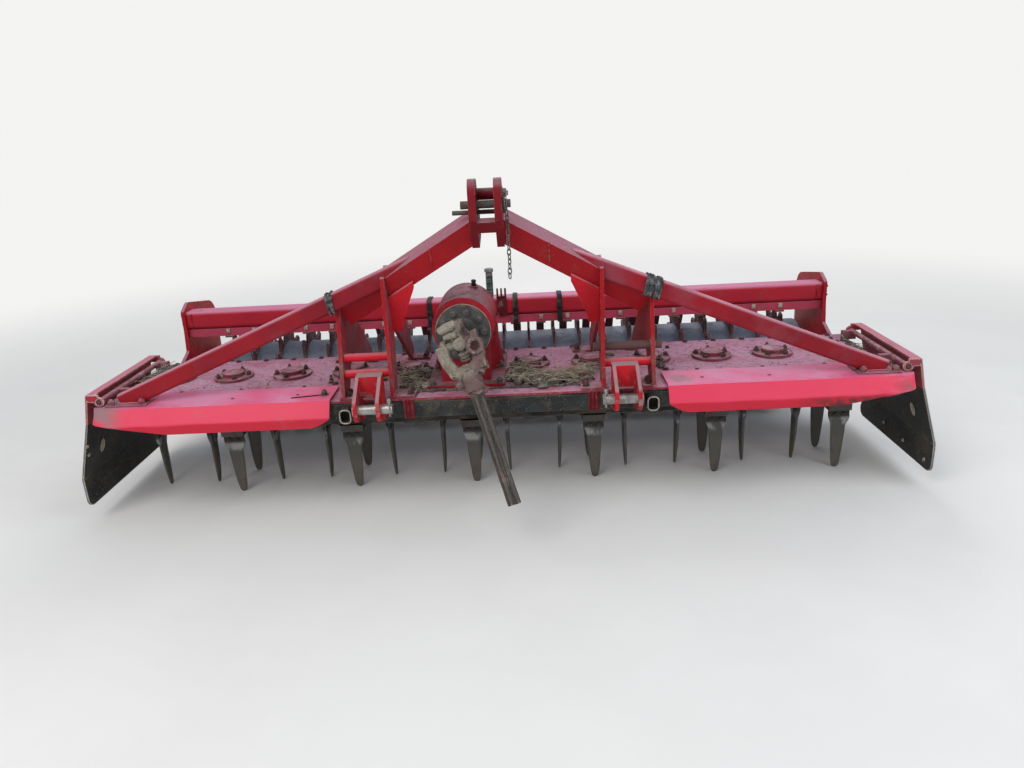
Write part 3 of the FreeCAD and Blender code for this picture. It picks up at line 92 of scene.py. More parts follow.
class Shading:
    """The shader nodes of a material or of the world."""

    def __init__(self, owner):
        owner.use_nodes = True
        self.tree = owner.node_tree
        self.tree.nodes.clear()

    def add(self, kind, **settings):
        node = self.tree.nodes.new(kind)
        for key, value in settings.items():
            setattr(node, key, value)
        return node

    def join(self, source, target):
        self.tree.links.new(source, target)

    def light(self, kind, colour, strength=1):
        node = self.add(kind)
        node.inputs[0].default_value = colour
        node.inputs[1].default_value = strength
        return node.outputs[0]

    def mixed(self, amount, first, second):
        node = self.add("ShaderNodeMixShader")
        for slot, value in zip(node.inputs, (amount, first, second)):
            self.join(value, slot)
        return node.outputs[0]


# Materials: a base colour under layers, each laid on through the product of its masks.
class Shades(Shading):
    """Builds one procedural material."""

    def __init__(self, name):
        self.material = bpy.data.materials.new(name)
        super().__init__(self.material)
        self.out = self.add("ShaderNodeOutputMaterial")
        self.shader = self.add("ShaderNodeBsdfPrincipled")
        self.join(self.shader.outputs[0], self.out.inputs[0])
        self.place = self.add("ShaderNodeTexCoord").outputs["Object"]
        geometry = self.add("ShaderNodeNewGeometry")
        self.surface = geometry.outputs["Normal"]
        self.bend = geometry.outputs["Pointiness"]
        self.rounded = None

    def math(self, operation, first, second=0.0):
        node = self.add("ShaderNodeMath", operation=operation)
        for slot, value in zip(node.inputs, (first, second)):
            if isinstance(value, (int, float)):
                slot.default_value = value
            else:
                self.join(value, slot)
        return node.outputs[0]

    def ramp(self, value, low, high):
        node = self.add("ShaderNodeMapRange", interpolation_type="SMOOTHSTEP")
        self.join(value, node.inputs["Value"])
        node.inputs["From Min"].default_value = low
        node.inputs["From Max"].default_value = high
        return node.outputs["Result"]

    def vector(self, operation, source, value):
        node = self.add("ShaderNodeVectorMath", operation=operation)
        self.join(source, node.inputs[0])
        if isinstance(value, bpy.types.NodeSocket):
            self.join(value, node.inputs[1])
        else:
            node.inputs[1].default_value = value
        return node.outputs["Value"]

    def noise(self, scale, low, high, stretch=(1, 1, 1)):
        mapping = self.add("ShaderNodeMapping")
        self.join(self.place, mapping.inputs["Vector"])
        mapping.inputs["Scale"].default_value = stretch
        texture = self.add("ShaderNodeTexNoise")
        self.join(mapping.outputs[0], texture.inputs["Vector"])
        texture.inputs["Scale"].default_value = scale
        texture.inputs["Detail"].default_value = 5
        texture.inputs["Roughness"].default_value = 0.6
        return self.ramp(texture.outputs["Fac"], low, high)

    def facing(self, way, low, high):
        return self.ramp(self.vector("DOT_PRODUCT", self.surface, way), low, high)

    def along(self, way, low, high):
        return self.ramp(self.vector("DOT_PRODUCT", self.place, way), low, high)

    def near(self, point, close, far):
        return self.ramp(self.vector("DISTANCE", self.place, point), far, close)

    def hollow(self, ridge, crease):
        return self.ramp(self.bend, ridge, crease)

    def from_axle(self, low, high):
        flat = self.add("ShaderNodeVectorMath", operation="MULTIPLY")
        self.join(self.place, flat.inputs[0])
        flat.inputs[1].default_value = (0, 1, 1)
        return self.ramp(self.vector("DISTANCE", flat.outputs[0], ROLLER_AXLE), low, high)

    def edge(self, low, high):
        return self.ramp(self.vector("DOT_PRODUCT", self.surface, self.rounded), high, low)


def shaded(name, colour, rough, metal=0.0, layers=(), bumps=(), specular=0.5, soft_edges=0.002):
    """Shades of a base colour under layers of (colour, roughness, amount, masks).

    A mask is one of Shades' methods with its values. A bump is a noise's scale and its depth.
    """
    made = Shades(name)
    shader = made.shader
    bevel = made.add("ShaderNodeBevel", samples=4)
    bevel.inputs["Radius"].default_value = soft_edges
    made.rounded = bevel.outputs[0]
    tint = None
    gloss = None
    for layer_colour, layer_rough, amount, *masks in layers:
        mask = amount
        for kind, *values in masks:
            mask = made.math("MULTIPLY", getattr(made, kind)(*values), mask)
        mix = made.add("ShaderNodeMix", data_type="RGBA")
        blend = made.add("ShaderNodeMix", data_type="FLOAT")
        made.join(mask, mix.inputs[0])
        made.join(mask, blend.inputs[0])
        mix.inputs[7].default_value = (*layer_colour, 1)
        blend.inputs[3].default_value = layer_rough
        if tint is None:
            mix.inputs[6].default_value = (*colour, 1)
            blend.inputs[2].default_value = rough
        else:
            made.join(tint, mix.inputs[6])
            made.join(gloss, blend.inputs[2])
        tint = mix.outputs[2]
        gloss = blend.outputs[0]
    made.join(tint, shader.inputs["Base Color"])
    made.join(gloss, shader.inputs["Roughness"])
    shader.inputs["Metallic"].default_value = metal
    shader.inputs["Specular IOR Level"].default_value = specular
    normal = made.rounded
    for scale, depth, *stretch in bumps:
        bump = made.add("ShaderNodeBump")
        bump.inputs["Distance"].default_value = depth
        made.join(made.noise(scale, 0.25, 0.75, *stretch), bump.inputs["Height"])
        made.join(normal, bump.inputs["Normal"])
        normal = bump.outputs[0]
    made.join(normal, shader.inputs["Normal"])
    return made


def material(*values, **settings):
    """The same, where only the material is needed."""
    return shaded(*values, **settings).material


DUST = (0.34, 0.27, 0.21)
PALE_DUST = (0.5, 0.43, 0.37)
SOIL = (0.12, 0.09, 0.062)
RUST = (0.14, 0.055, 0.03)
GREASE = (0.03, 0.027, 0.022)
# The pink of the red paint's upward faces is a painted sky sheen.
SKY_SHEEN_PINK = (0.41, 0.19, 0.27)
SKY_UP = ("facing", UP, 0.3, 0.9)
TOP = ("facing", UP, 0.5, 0.95)
WORN = ("edge", 0.93, 0.999)


def paint(name, colour, deep, top, extra=()):
    """Sprayed paint with a deeper tone in clouds, a painted sky sheen on its upward faces, dust, splashes of
    soil and worn edges.
    """
    return material(name, colour, 0.45, specular=0.18, layers=[
        (deep, 0.5, 0.7, ("noise", 3.0, 0.4, 0.65)),
        # The top colour on upward faces is a painted sky sheen.
        (top, 0.6, 0.85, SKY_UP),
        (DUST, 0.85, 0.35, SKY_UP, ("noise", 22, 0.42, 0.7)),
        (SOIL, 0.9, 0.5, ("noise", 9, 0.6, 0.74), ("noise", 60, 0.35, 0.6)),
        *extra,
        ((0.52, 0.3, 0.3), 0.7, 0.75, WORN, ("noise", 30, 0.42, 0.62)),
    ], bumps=[(180, 0.0004), (16, 0.001)])


def soiled(low, high):
    """Splashed earth and chips below a height."""
    fall = ("along", -UP, -high, -low)
    return [
        ((0.2, 0.085, 0.08), 0.8, 0.75, fall, ("noise", 13, 0.38, 0.6)),
        ((0.16, 0.12, 0.095), 0.95, 0.7, fall, ("noise", 22, 0.52, 0.66)),
        ((0.46, 0.38, 0.36), 0.8, 0.7, fall, ("noise", 80, 0.6, 0.68)),
    ]


# Each paint's third colour is its painted sky sheen on upward faces.
red = paint("red_paint", (0.37, 0.007, 0.013), (0.26, 0.005, 0.011), SKY_SHEEN_PINK)
brace_red = paint("brace_paint", (0.3, 0.01, 0.019), (0.17, 0.009, 0.016), (0.6, 0.27, 0.36), [
    ((0.22, 0.075, 0.1), 0.7, 0.45, ("noise", 5, 0.44, 0.68)),
])
plate_red = paint("plate_paint", (0.38, 0.008, 0.014), (0.25, 0.006, 0.012), SKY_SHEEN_PINK, [
    # Paler pink in clouds on faces turned to +X is painted light falling on that side.
    ((0.3, 0.17, 0.21), 0.7, 0.55, ("facing", X, 0.6, 0.95), ("noise", 6, 0.32, 0.6)),
    *soiled(0.5, 0.74),
])
# The clevis paint is the frame's red made darker, a painted shade.
clevis_red = paint("clevis_paint", (0.2, 0.008, 0.014), (0.11, 0.006, 0.01), (0.26, 0.11, 0.15))
rear_red = paint("rear_beam_paint", (0.42, 0.018, 0.033), (0.32, 0.016, 0.028), (0.66, 0.22, 0.38))
# The scraper bar's paler, pinker red is painted light, a lit copy of the frame's red.
bar_pink = paint("scraper_bar_paint", (0.46, 0.06, 0.105), (0.34, 0.035, 0.065), (0.52, 0.16, 0.25))
cover_red = paint("cover_paint", (0.25, 0.04, 0.062), (0.16, 0.03, 0.045), (0.4, 0.19, 0.26), [
    ((0.2, 0.1, 0.1), 0.85, 0.8, ("noise", 26, 0.42, 0.62)),
    ((0.46, 0.3, 0.33), 0.8, 0.8, ("noise", 12, 0.52, 0.66)),
])
link_red = paint("link_paint", (0.58, 0.012, 0.024), (0.42, 0.01, 0.02), (0.5, 0.19, 0.24), [
    ((0.3, 0.24, 0.24), 0.85, 0.9, ("facing", UP, 0.6, 0.95), ("noise", 14, 0.28, 0.5)),
    ((0.08, 0.03, 0.03), 0.8, 0.8, ("along", -UP, -0.56, -0.5), ("noise", 20, 0.46, 0.62, (1, 1, 0.2))),
    ((0.3, 0.22, 0.21), 0.85, 0.7, ("along", -UP, -0.6, -0.46), ("noise", 30, 0.5, 0.64)),
])
bright_red = paint("bright_red_paint", (0.6, 0.012, 0.024), (0.44, 0.01, 0.02), (0.5, 0.19, 0.24),
                   soiled(0.4, 0.53))
tube_red = paint("tube_paint", (0.62, 0.012, 0.024), (0.46, 0.01, 0.02), (0.52, 0.13, 0.17), [
    ((0.08, 0.058, 0.054), 0.8, 0.95, ("along", X, 0.34, 0.345), ("along", UP, LID + 0.125, LID + 0.127)),
])
maroon = paint("maroon_paint", (0.11, 0.012, 0.018), (0.05, 0.01, 0.014), (0.22, 0.11, 0.13), [
    ((0.2, 0.15, 0.12), 0.9, 0.6, ("noise", 30, 0.48, 0.62)),
])

hood_red = material("hood_paint", (0.745, 0.05, 0.105), 0.4, specular=0.22, layers=[
    # Lighter pink and lilac clouds on upward faces are a painted sky sheen.
    ((0.68, 0.12, 0.25), 0.55, 0.95, ("facing", UP, 0.55, 0.9)),
    ((0.62, 0.32, 0.48), 0.7, 0.6, ("facing", UP, 0.6, 0.95), ("noise", 4, 0.38, 0.62)),
    # The deeper red on faces turned to the front is painted shade.
    ((0.52, 0.017, 0.037), 0.45, 0.9, ("facing", (0, -1, 0), 0.93, 0.99)),
    (DUST, 0.85, 0.4, ("noise", 4, 0.54, 0.76), ("noise", 45, 0.4, 0.62)),
    ((0.17, 0.13, 0.12), 0.9, 0.8, ("along", X, 1.43, 1.52), ("noise", 12, 0.36, 0.6)),
    ((0.24, 0.21, 0.205), 0.9, 0.85, ("along", -X, 1.39, 1.5), ("noise", 12, 0.3, 0.55)),
    (GREASE, 0.5, 0.9, ("along", X, 1.02, 1.3), ("along", -UP, -0.435, -0.405), ("noise", 30, 0.3, 0.6)),
    ((0.28, 0.22, 0.23), 0.8, 0.8, ("near", (0.69, -0.43, 0.48), 0.02, 0.07), ("noise", 40, 0.3, 0.6)),
    (GREASE, 0.6, 0.8, WORN, ("noise", 24, 0.5, 0.66)),
], bumps=[(180, 0.0003)])

deck = material("deck_paint", (0.32, 0.022, 0.042), 0.6, specular=0.3, layers=[
    # Lilac-pink clouds on the lid's upward faces are a painted sky sheen.
    ((0.5, 0.25, 0.37), 0.7, 0.92, TOP, ("noise", 4, 0.2, 0.54)),
    ((0.46, 0.33, 0.36), 0.85, 0.4, TOP, ("noise", 13, 0.44, 0.68)),
    (SOIL, 0.95, 0.6, TOP, ("noise", 7, 0.58, 0.74), ("noise", 70, 0.3, 0.6)),
    (SOIL, 0.95, 0.7, ("noise", 90, 0.56, 0.66)),
    ((0.3, 0.14, 0.18), 0.9, 0.6, ("noise", 45, 0.5, 0.62)),
    ((0.42, 0.3, 0.28), 0.7, 0.7, WORN, ("noise", 24, 0.4, 0.62)),
], bumps=[(120, 0.0008), (14, 0.0015)])

black = material("black_paint", (0.016, 0.018, 0.018), 0.55, specular=0.3, layers=[
    ((0.045, 0.05, 0.05), 0.7, 0.8, ("noise", 12, 0.4, 0.7)),
    (SOIL, 0.9, 0.55, ("noise", 20, 0.5, 0.68)),
    ((0.24, 0.24, 0.23), 0.7, 0.8, ("noise", 150, 0.61, 0.69)),
    ((0.3, 0.29, 0.27), 0.6, 0.7, WORN, ("noise", 20, 0.35, 0.55)),
], bumps=[(140, 0.0008)])

side_paint = material("side_plate_paint", (0.016, 0.017, 0.016), 0.6, specular=0.3, layers=[
    ((0.065, 0.055, 0.042), 0.85, 0.85, ("noise", 9, 0.4, 0.66)),
    ((0.22, 0.21, 0.19), 0.8, 0.75, ("noise", 110, 0.6, 0.69)),
    ((0.4, 0.014, 0.026), 0.5, 1.0, ("along", UP, 0.413, 0.418)),
    ((0.22, 0.06, 0.07), 0.7, 0.75, ("along", UP, 0.413, 0.418), ("noise", 6, 0.38, 0.62)),
    # Pink on upward faces is a painted sky sheen.
    ((0.56, 0.2, 0.27), 0.6, 0.9, ("facing", UP, 0.5, 0.9)),
    (SOIL, 0.9, 0.5, ("noise", 10, 0.56, 0.7), ("noise", 60, 0.35, 0.6)),
    # The near-white front edges are a painted highlight.
    ((0.8, 0.8, 0.78), 0.4, 1.0, ("edge", 0.955, 0.9995), ("along", -Y, 0.43, 0.445),
     ("noise", 8, 0.14, 0.34)),
    ((0.5, 0.42, 0.4), 0.5, 0.8, WORN, ("noise", 8, 0.36, 0.54)),
], bumps=[(140, 0.0008), (12, 0.0015)], soft_edges=0.006)

trough = material("trough_paint", (0.014, 0.014, 0.014), 0.7, specular=0.3, layers=[
    (SOIL, 0.95, 0.7, ("noise", 9, 0.4, 0.68)),
], bumps=[(60, 0.002)])

grey_cast = material("grey_cast", (0.055, 0.055, 0.055), 0.6, metal=0.3, layers=[
    ((0.13, 0.125, 0.115), 0.8, 0.8, ("noise", 18, 0.4, 0.66)),
    (DUST, 0.9, 0.5, ("facing", UP, 0.2, 0.9), ("noise", 30, 0.4, 0.6)),
    ((0.3, 0.29, 0.27), 0.6, 0.6, WORN, ("noise", 24, 0.4, 0.6)),
], bumps=[(90, 0.001)])

gearbox_red = material("gearbox_paint", (0.4, 0.01, 0.024), 0.5, specular=0.25, layers=[
    ((0.22, 0.008, 0.016), 0.55, 0.8, ("noise", 7, 0.4, 0.62)),
    # Pinkish-grey clouds on upward faces are a painted sky sheen.
    ((0.24, 0.13, 0.175), 0.75, 0.85, ("facing", UP, 0.35, 0.95), ("noise", 10, 0.26, 0.56)),
    (SOIL, 0.95, 0.8, ("facing", UP, 0.55, 0.98), ("noise", 16, 0.47, 0.64)),
    (SOIL, 0.95, 0.5, ("noise", 34, 0.58, 0.7)),
], bumps=[(70, 0.0015)])

# Dry earth gets painted shade in its hollows and a painted highlight on its ridges. On the drawn shaft it is
# thin and grey.
SHAFT_START = JOINT.dot(TUBE_WAY) + 0.195
YOKE_SIDE = JOINT.dot(TUBE_PIN)
mud = material("dry_earth", (0.235, 0.2, 0.16), 0.95, specular=0.1, layers=[
    ((0.36, 0.32, 0.26), 0.95, 0.85, ("noise", 16, 0.4, 0.6)),
    ((0.15, 0.105, 0.095), 0.8, 0.75, ("noise", 9, 0.5, 0.62)),
    ((0.17, 0.105, 0.1), 0.85, 0.9, ("along", TUBE_PIN, YOKE_SIDE + 0.004, YOKE_SIDE + 0.04),
     ("noise", 11, 0.22, 0.46)),
    ((0.16, 0.095, 0.095), 0.85, 0.85, ("along", TUBE_WAY, SHAFT_START - 0.075, SHAFT_START - 0.045),
     ("noise", 11, 0.22, 0.46)),
    # A dark red patch in the eye's bore is painted shade.
    ((0.085, 0.025, 0.025), 0.7, 0.95, ("near", EYE + EYE_WAY * 0.004, 0.013, 0.019)),
    ((0.085, 0.08, 0.074), 0.7, 0.9, ("along", TUBE_WAY, SHAFT_START, SHAFT_START + 0.02),
     ("noise", 20, 0.3, 0.5)),
    # Dark in hollows is painted shade; pale on ridges is a painted highlight.
    ((0.07, 0.055, 0.047), 0.95, 0.9, ("hollow", 0.505, 0.455)),
    ((0.4, 0.37, 0.32), 0.9, 0.6, ("hollow", 0.525, 0.57)),
], bumps=[(45, 0.003), (200, 0.0012)], soft_edges=0.004)

clods = material("trodden_earth", (0.115, 0.105, 0.09), 0.95, specular=0.1, layers=[
    ((0.22, 0.205, 0.18), 0.95, 0.9, ("noise", 30, 0.42, 0.62)),
    ((0.045, 0.038, 0.034), 0.9, 0.85, ("noise", 50, 0.52, 0.66)),
], bumps=[(90, 0.004)], soft_edges=0.003)

straw = material("straw", (0.44, 0.39, 0.29), 0.8, specular=0.2, layers=[
    ((0.23, 0.19, 0.14), 0.85, 0.9, ("noise", 40, 0.42, 0.6)),
    ((0.62, 0.56, 0.44), 0.75, 0.7, ("noise", 25, 0.52, 0.66)),
], bumps=[(300, 0.0005)], soft_edges=0.0005)

zinc = material("zinc", (0.42, 0.41, 0.39), 0.35, metal=0.8, layers=[
    ((0.2, 0.18, 0.16), 0.6, 0.8, ("noise", 40, 0.45, 0.65)),
    (GREASE, 0.4, 0.6, ("noise", 14, 0.52, 0.68)),
], bumps=[(200, 0.0004)], soft_edges=0.001)

pale_bolt = material("pale_bolt", (0.42, 0.38, 0.32), 0.7, metal=0.2, layers=[
    ((0.27, 0.19, 0.13), 0.8, 0.8, ("noise", 60, 0.42, 0.62)),
    # The paler grey of upward faces is a painted highlight.
    ((0.56, 0.54, 0.5), 0.6, 0.7, ("facing", UP, 0.3, 0.9)),
], bumps=[(200, 0.0006)], soft_edges=0.001)

rusty = material("rusty_steel", (0.115, 0.05, 0.05), 0.75, metal=0.3, layers=[
    ((0.06, 0.035, 0.032), 0.8, 0.8, ("noise", 40, 0.42, 0.62)),
    ((0.26, 0.15, 0.16), 0.85, 0.7, ("facing", UP, 0.4, 0.95), ("noise", 30, 0.35, 0.6)),
], bumps=[(150, 0.001)], soft_edges=0.001)

dark_steel = material("dark_steel", (0.085, 0.08, 0.076), 0.5, metal=0.6, layers=[
    (RUST, 0.85, 0.6, ("noise", 24, 0.48, 0.66)),
    (DUST, 0.9, 0.5, ("facing", UP, 0.2, 0.9), ("noise", 40, 0.38, 0.6)),
    ((0.42, 0.4, 0.36), 0.5, 0.8, WORN, ("noise", 18, 0.36, 0.56)),
], bumps=[(120, 0.0006)], soft_edges=0.0015)

# The scrapers' dark red is their red paint darkened as painted shade under the beam; rust and worn edges are
# their own.
scraper_steel = material("scraper_steel", (0.16, 0.035, 0.045), 0.7, metal=0.2, layers=[
    ((0.06, 0.045, 0.04), 0.85, 0.85, ("noise", 16, 0.42, 0.62)),
    (RUST, 0.85, 0.5, ("noise", 30, 0.5, 0.66)),
    ((0.6, 0.56, 0.54), 0.5, 0.9, WORN, ("noise", 18, 0.3, 0.5)),
], bumps=[(120, 0.0006)], soft_edges=0.0018)

grey_tube = material("grey_tube", (0.36, 0.35, 0.33), 0.7, specular=0.3, layers=[
    ((0.24, 0.24, 0.23), 0.7, 0.7, ("noise", 24, 0.45, 0.62)),
    ((0.12, 0.16, 0.155), 0.6, 0.9, ("along", UP, 0.7, 0.74), ("noise", 60, 0.2, 0.5)),
    ((0.035, 0.05, 0.05), 0.6, 0.9, ("along", UP, 0.7, 0.74), ("noise", 26, 0.48, 0.6, (0.3, 0.3, 3))),
    (PALE_DUST, 0.9, 0.6, ("noise", 18, 0.5, 0.66)),
    # Dark in the hollows, such as the knurl's grooves, is painted shade.
    ((0.05, 0.05, 0.045), 0.8, 0.9, ("hollow", 0.49, 0.44)),
], bumps=[(160, 0.001)], soft_edges=0.001)

rubber = material("rubber", (0.012, 0.012, 0.012), 0.7, specular=0.3, layers=[
    ((0.1, 0.09, 0.075), 0.9, 0.7, ("noise", 30, 0.5, 0.68)),
], bumps=[(160, 0.0006)], soft_edges=0.001)

rope = material("old_rope", (0.075, 0.08, 0.082), 0.9, specular=0.1, layers=[
    ((0.2, 0.21, 0.21), 0.9, 0.8, ("noise", 60, 0.45, 0.62)),
    ((0.02, 0.022, 0.022), 0.9, 0.8, ("noise", 34, 0.52, 0.66)),
], bumps=[(260, 0.001)], soft_edges=0.0005)

roller_steel = material("roller_steel", (0.17, 0.2, 0.27), 0.5, metal=0.2, specular=0.3, layers=[
    ((0.25, 0.28, 0.36), 0.5, 0.8, ("noise", 5, 0.4, 0.6, (0.3, 1, 1))),
    ((0.13, 0.105, 0.095), 0.9, 0.5, ("noise", 15, 0.56, 0.74, (0.5, 1, 1))),
    ((0.17, 0.045, 0.06), 0.7, 0.9, ("from_axle", 0.191, 0.197)),
    ((0.1, 0.075, 0.07), 0.9, 0.7, ("from_axle", 0.191, 0.197), ("noise", 22, 0.44, 0.62)),
    (RUST, 0.85, 0.4, ("noise", 60, 0.56, 0.66)),
    ((0.58, 0.55, 0.53), 0.5, 0.9, WORN, ("noise", 9, 0.26, 0.48)),
], bumps=[(60, 0.0008)], soft_edges=0.002)

tine_steel = material("tine_steel", (0.1, 0.098, 0.09), 0.55, metal=0.4, layers=[
    ((0.055, 0.045, 0.042), 0.8, 0.9, ("along", UP, 0.222, 0.236)),
    # The pale, glossy shoulder band is polished steel with a painted highlight.
    ((0.34, 0.34, 0.33), 0.3, 0.9, ("along", UP, 0.185, 0.205), ("along", -UP, -0.236, -0.218),
     ("noise", 22, 0.42, 0.6, (1, 1, 0.5))),
    ((0.16, 0.14, 0.115), 0.9, 0.85, ("along", -UP, -0.2, -0.11), ("noise", 12, 0.3, 0.55)),
    (RUST, 0.85, 0.4, ("noise", 40, 0.56, 0.68)),
    ((0.36, 0.35, 0.34), 0.4, 0.7, WORN, ("noise", 15, 0.35, 0.55)),
], bumps=[(70, 0.001, (1, 1, 0.5))])

FINISHES = {
    "corner_braces": brace_red, "main_beams": red, "headstock_plates": plate_red,
    "headstock_gussets": bright_red, "headstock_tubes": tube_red, "headstock_feet": cover_red,
    "brace_feet": cover_red, "top_clevis": clevis_red, "link_brackets": link_red, "bar_sockets": black,
    "front_hoods": hood_red, "trough_lid": deck, "rotor_covers": cover_red, "front_bar": black,
    "gear_trough": trough, "bearing_housings": grey_cast, "gearbox_housing": gearbox_red,
    "input_flange": grey_cast, "input_yoke": mud, "joint_cross": mud, "driveline_tube": mud,
    "filler_tube": grey_tube, "link_pins": zinc, "clevis_pins": dark_steel, "safety_chain": dark_steel,
    "pivot_pins": zinc, "side_hinges": cover_red, "side_plate_left": side_paint,
    "side_plate_right": side_paint, "rear_beam": rear_red, "roller_arm_left": red,
    "roller_arm_right": red, "scraper_bar": bar_pink, "scrapers": scraper_steel,
    "packer_roller": roller_steel,
}
for name, thing in nodes.items():
    finish = FINISHES.get(name)
    if name.startswith("rotor_hub"):
        finish = dark_steel
    if name.startswith("tine_pair"):
        finish = tine_steel
    thing.data.materials.clear()
    thing.data.materials.append(finish)


def spot(x, y, z):
    """A point of the frame, from its depth behind the rotors' line and its height over the lid."""
    return Vector((x, y + ROTOR_Y, z + LID))


trees = {}


def on(node, start, way):
    """The first point of a node's surface that is met from start along way, and its normal."""
    if node not in trees:
        mesh = nodes[node].data
        trees[node] = BVHTree.FromPolygons([v.co for v in mesh.vertices], [p.vertices for p in mesh.polygons])
    place, normal, _, _ = trees[node].ray_cast(start, way)
    return place, normal


def rounded(half_x, half_y, corner, inset, steps):
    """The outline of a rectangle with round corners, drawn in by an inset."""
    points = []
    for quarter, (i, j) in enumerate(((1, 1), (-1, 1), (-1, -1), (1, -1))):
        for step in range(steps):
            t = (quarter + step / (steps - 1)) * math.pi / 2
            points.append((i * (half_x - corner) + math.cos(t) * (corner - inset),
                           j * (half_y - corner) + math.sin(t) * (corner - inset)))
    return points


def ways(path, looped):
    """The way that a path takes at each of its points."""
    count = len(path)
    for i, p in enumerate(path):
        before = path[i - 1] if i or looped else p
        after = path[(i + 1) % count] if i + 1 < count or looped else p
        yield (after - before).normalized()


class Form:
    """Collects the surfaces of one piece."""

    def __init__(self):
        self.points = []
        self.faces = []

    def take(self, points, faces):
        start = len(self.points)
        self.points.extend(Vector(p) for p in points)
        self.faces.extend(tuple(start + i for i in face) for face in faces)

    def copy_of(self, node):
        mesh = nodes[node].data
        self.take([v.co for v in mesh.vertices], [p.vertices for p in mesh.polygons])

    def loft(self, rings, looped=False):
        """Skins closed rings of equal length, with ends unless looped."""
        size = len(rings[0])
        rows = len(rings)
        faces = []
        for row in range(rows if looped else rows - 1):
            following = (row + 1) % rows
            for step in range(size):
                turn = (step + 1) % size
                here, there = row * size, following * size
                faces.append((here + step, here + turn, there + turn, there + step))
        if not looped:
            faces.append(tuple(range(size)))
            faces.append(tuple(range((rows - 1) * size, rows * size)))
        self.take([p for ring in rings for p in ring], faces)

    def turned(self, base, axis, profile, sides=20, looped=False):
        """A turned shape; the profile holds distances along the axis and radii."""
        axis = Vector(axis).normalized()
        u = axis.orthogonal().normalized()
        v = axis.cross(u)
        self.loft([[base + axis * h + (u * math.cos(t) + v * math.sin(t)) * r for t in round_steps(sides)]
                   for h, r in profile], looped)

    def bolt(self, at, axis, across, height, stud=0.0, washer=True):
        """A hexagon head or nut on its washer, with the end of its stud."""
        axis = Vector(axis).normalized()
        r = across / math.sqrt(3)
        if washer:
            self.turned(at - axis * 0.001, axis, [(0, r * 1.4), (0.0027, r * 1.4), (0.0032, r * 1.3)])
        base = at + axis * 0.002
        self.turned(base, axis, [(0, r * 0.94), (0.001, r), (height * 0.8, r), (height, r * 0.82)], 6)
        if stud:
            s = across * 0.3
            self.turned(base + axis * height * 0.9, axis, [(0, s), (stud, s), (stud + 0.0015, s * 0.8)], 10)

    def bolt_on(self, node, start, way, *size):
        """A bolt where a line meets a node, if it does."""
        place, normal = on(node, start, way)
        if place:
            self.bolt(place, normal, *size)

    def tube(self, points, radius, sides=8, looped=False):
        """A round bar along points, of one radius or one for each point."""
        points = [Vector(p) for p in points]
        radii = [radius] * len(points) if isinstance(radius, float) else radius
        rings = []
        side = None
        for p, way, r in zip(points, ways(points, looped), radii):
            side = way.orthogonal() if side is None else side - way * side.dot(way)
            side.normalize()
            other = way.cross(side)
            rings.append([p + (side * math.cos(t) + other * math.sin(t)) * r for t in round_steps(sides)])
        self.loft(rings, looped)

    def block(self, centre, size, x=X, y=Y, edge=0.003):
        """A block with rounded edges, turned to the two ways that are given."""
        x, y = Vector(x).normalized(), Vector(y).normalized()
        z = x.cross(y)
        a, b, c = (s / 2 for s in size)
        levels = ((-c, edge), (-c + 0.3 * edge, 0.3 * edge), (-c + edge, 0),
                  (c - edge, 0), (c - 0.3 * edge, 0.3 * edge), (c, edge))
        self.loft([[centre + x * i + y * j + z * h for i, j in rounded(a, b, edge, inset, 4)]
                   for h, inset in levels])

    def band(self, path, across, width, thick, looped=False):
        """A flat strap along a path, with its width across."""
        across = Vector(across).normalized()
        half = across * width / 2
        rings = []
        for p, way in zip(path, ways(path, looped)):
            out = way.cross(across) * thick / 2
            rings.append([p + half + out, p - half + out, p - half - out, p + half - out])
        self.loft(rings, looped)

    def bead(self, start, end, radius=0.004):
        """A weld bead, a little uneven."""
        steps = max(2, round((end - start).length / 0.008))
        points = [start.lerp(end, i / steps) + shake(0.0006) for i in range(steps + 1)]
        self.tube(points, [radius * dice.uniform(0.75, 1.15) for _ in points], 6)

    def ring_bead(self, centre, axis, ring, radius=0.003):
        """A weld bead round a bar."""
        u = axis.orthogonal().normalized()
        v = axis.cross(u)
        turns = round_steps(28)
        self.tube([centre + (u * math.cos(t) + v * math.sin(t)) * ring for t in turns],
                  [radius * dice.uniform(0.75, 1.2) for _ in turns], 6, looped=True)

    def lump(self, centre, size, detail=2):
        """A rough clod; size is one radius, or three."""
        size = Vector((size, size, size)) if isinstance(size, float) else Vector(size)
        ball = bmesh.new()
        bmesh.ops.create_icosphere(ball, subdivisions=detail, radius=1)
        shift = shake(50)
        points = []
        for vertex in ball.verts:
            swell = 0.45 * noise.noise(vertex.co * 1.4 + shift) + 0.2 * noise.noise(vertex.co * 3.7 + shift)
            points.append(centre + vertex.co * size * (1 + swell))
        self.take(points, [[v.index for v in face.verts] for face in ball.faces])
        ball.free()

    def build(self, name, finish, crease=38):
        mesh = bpy.data.meshes.new(name)
        mesh.from_pydata(self.points, [], self.faces)
        shell = bmesh.new()
        shell.from_mesh(mesh)
        bmesh.ops.recalc_face_normals(shell, faces=shell.faces)
        shell.to_mesh(mesh)
        shell.free()
        mesh.shade_smooth()
        mesh.set_sharp_from_angle(angle=math.radians(crease))
        mesh.materials.append(finish)
        made = bpy.data.objects.new(name, mesh)
        bpy.context.scene.collection.objects.link(made)
        return made

    def piece(self, name, finish, slot, body="frame", crease=38):
        made = self.build(name, finish, crease)
        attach(made, body)
        return made


def tilted(axis, most):
    """An axis a little out of true."""
    return (axis + shake(most)).normalized()


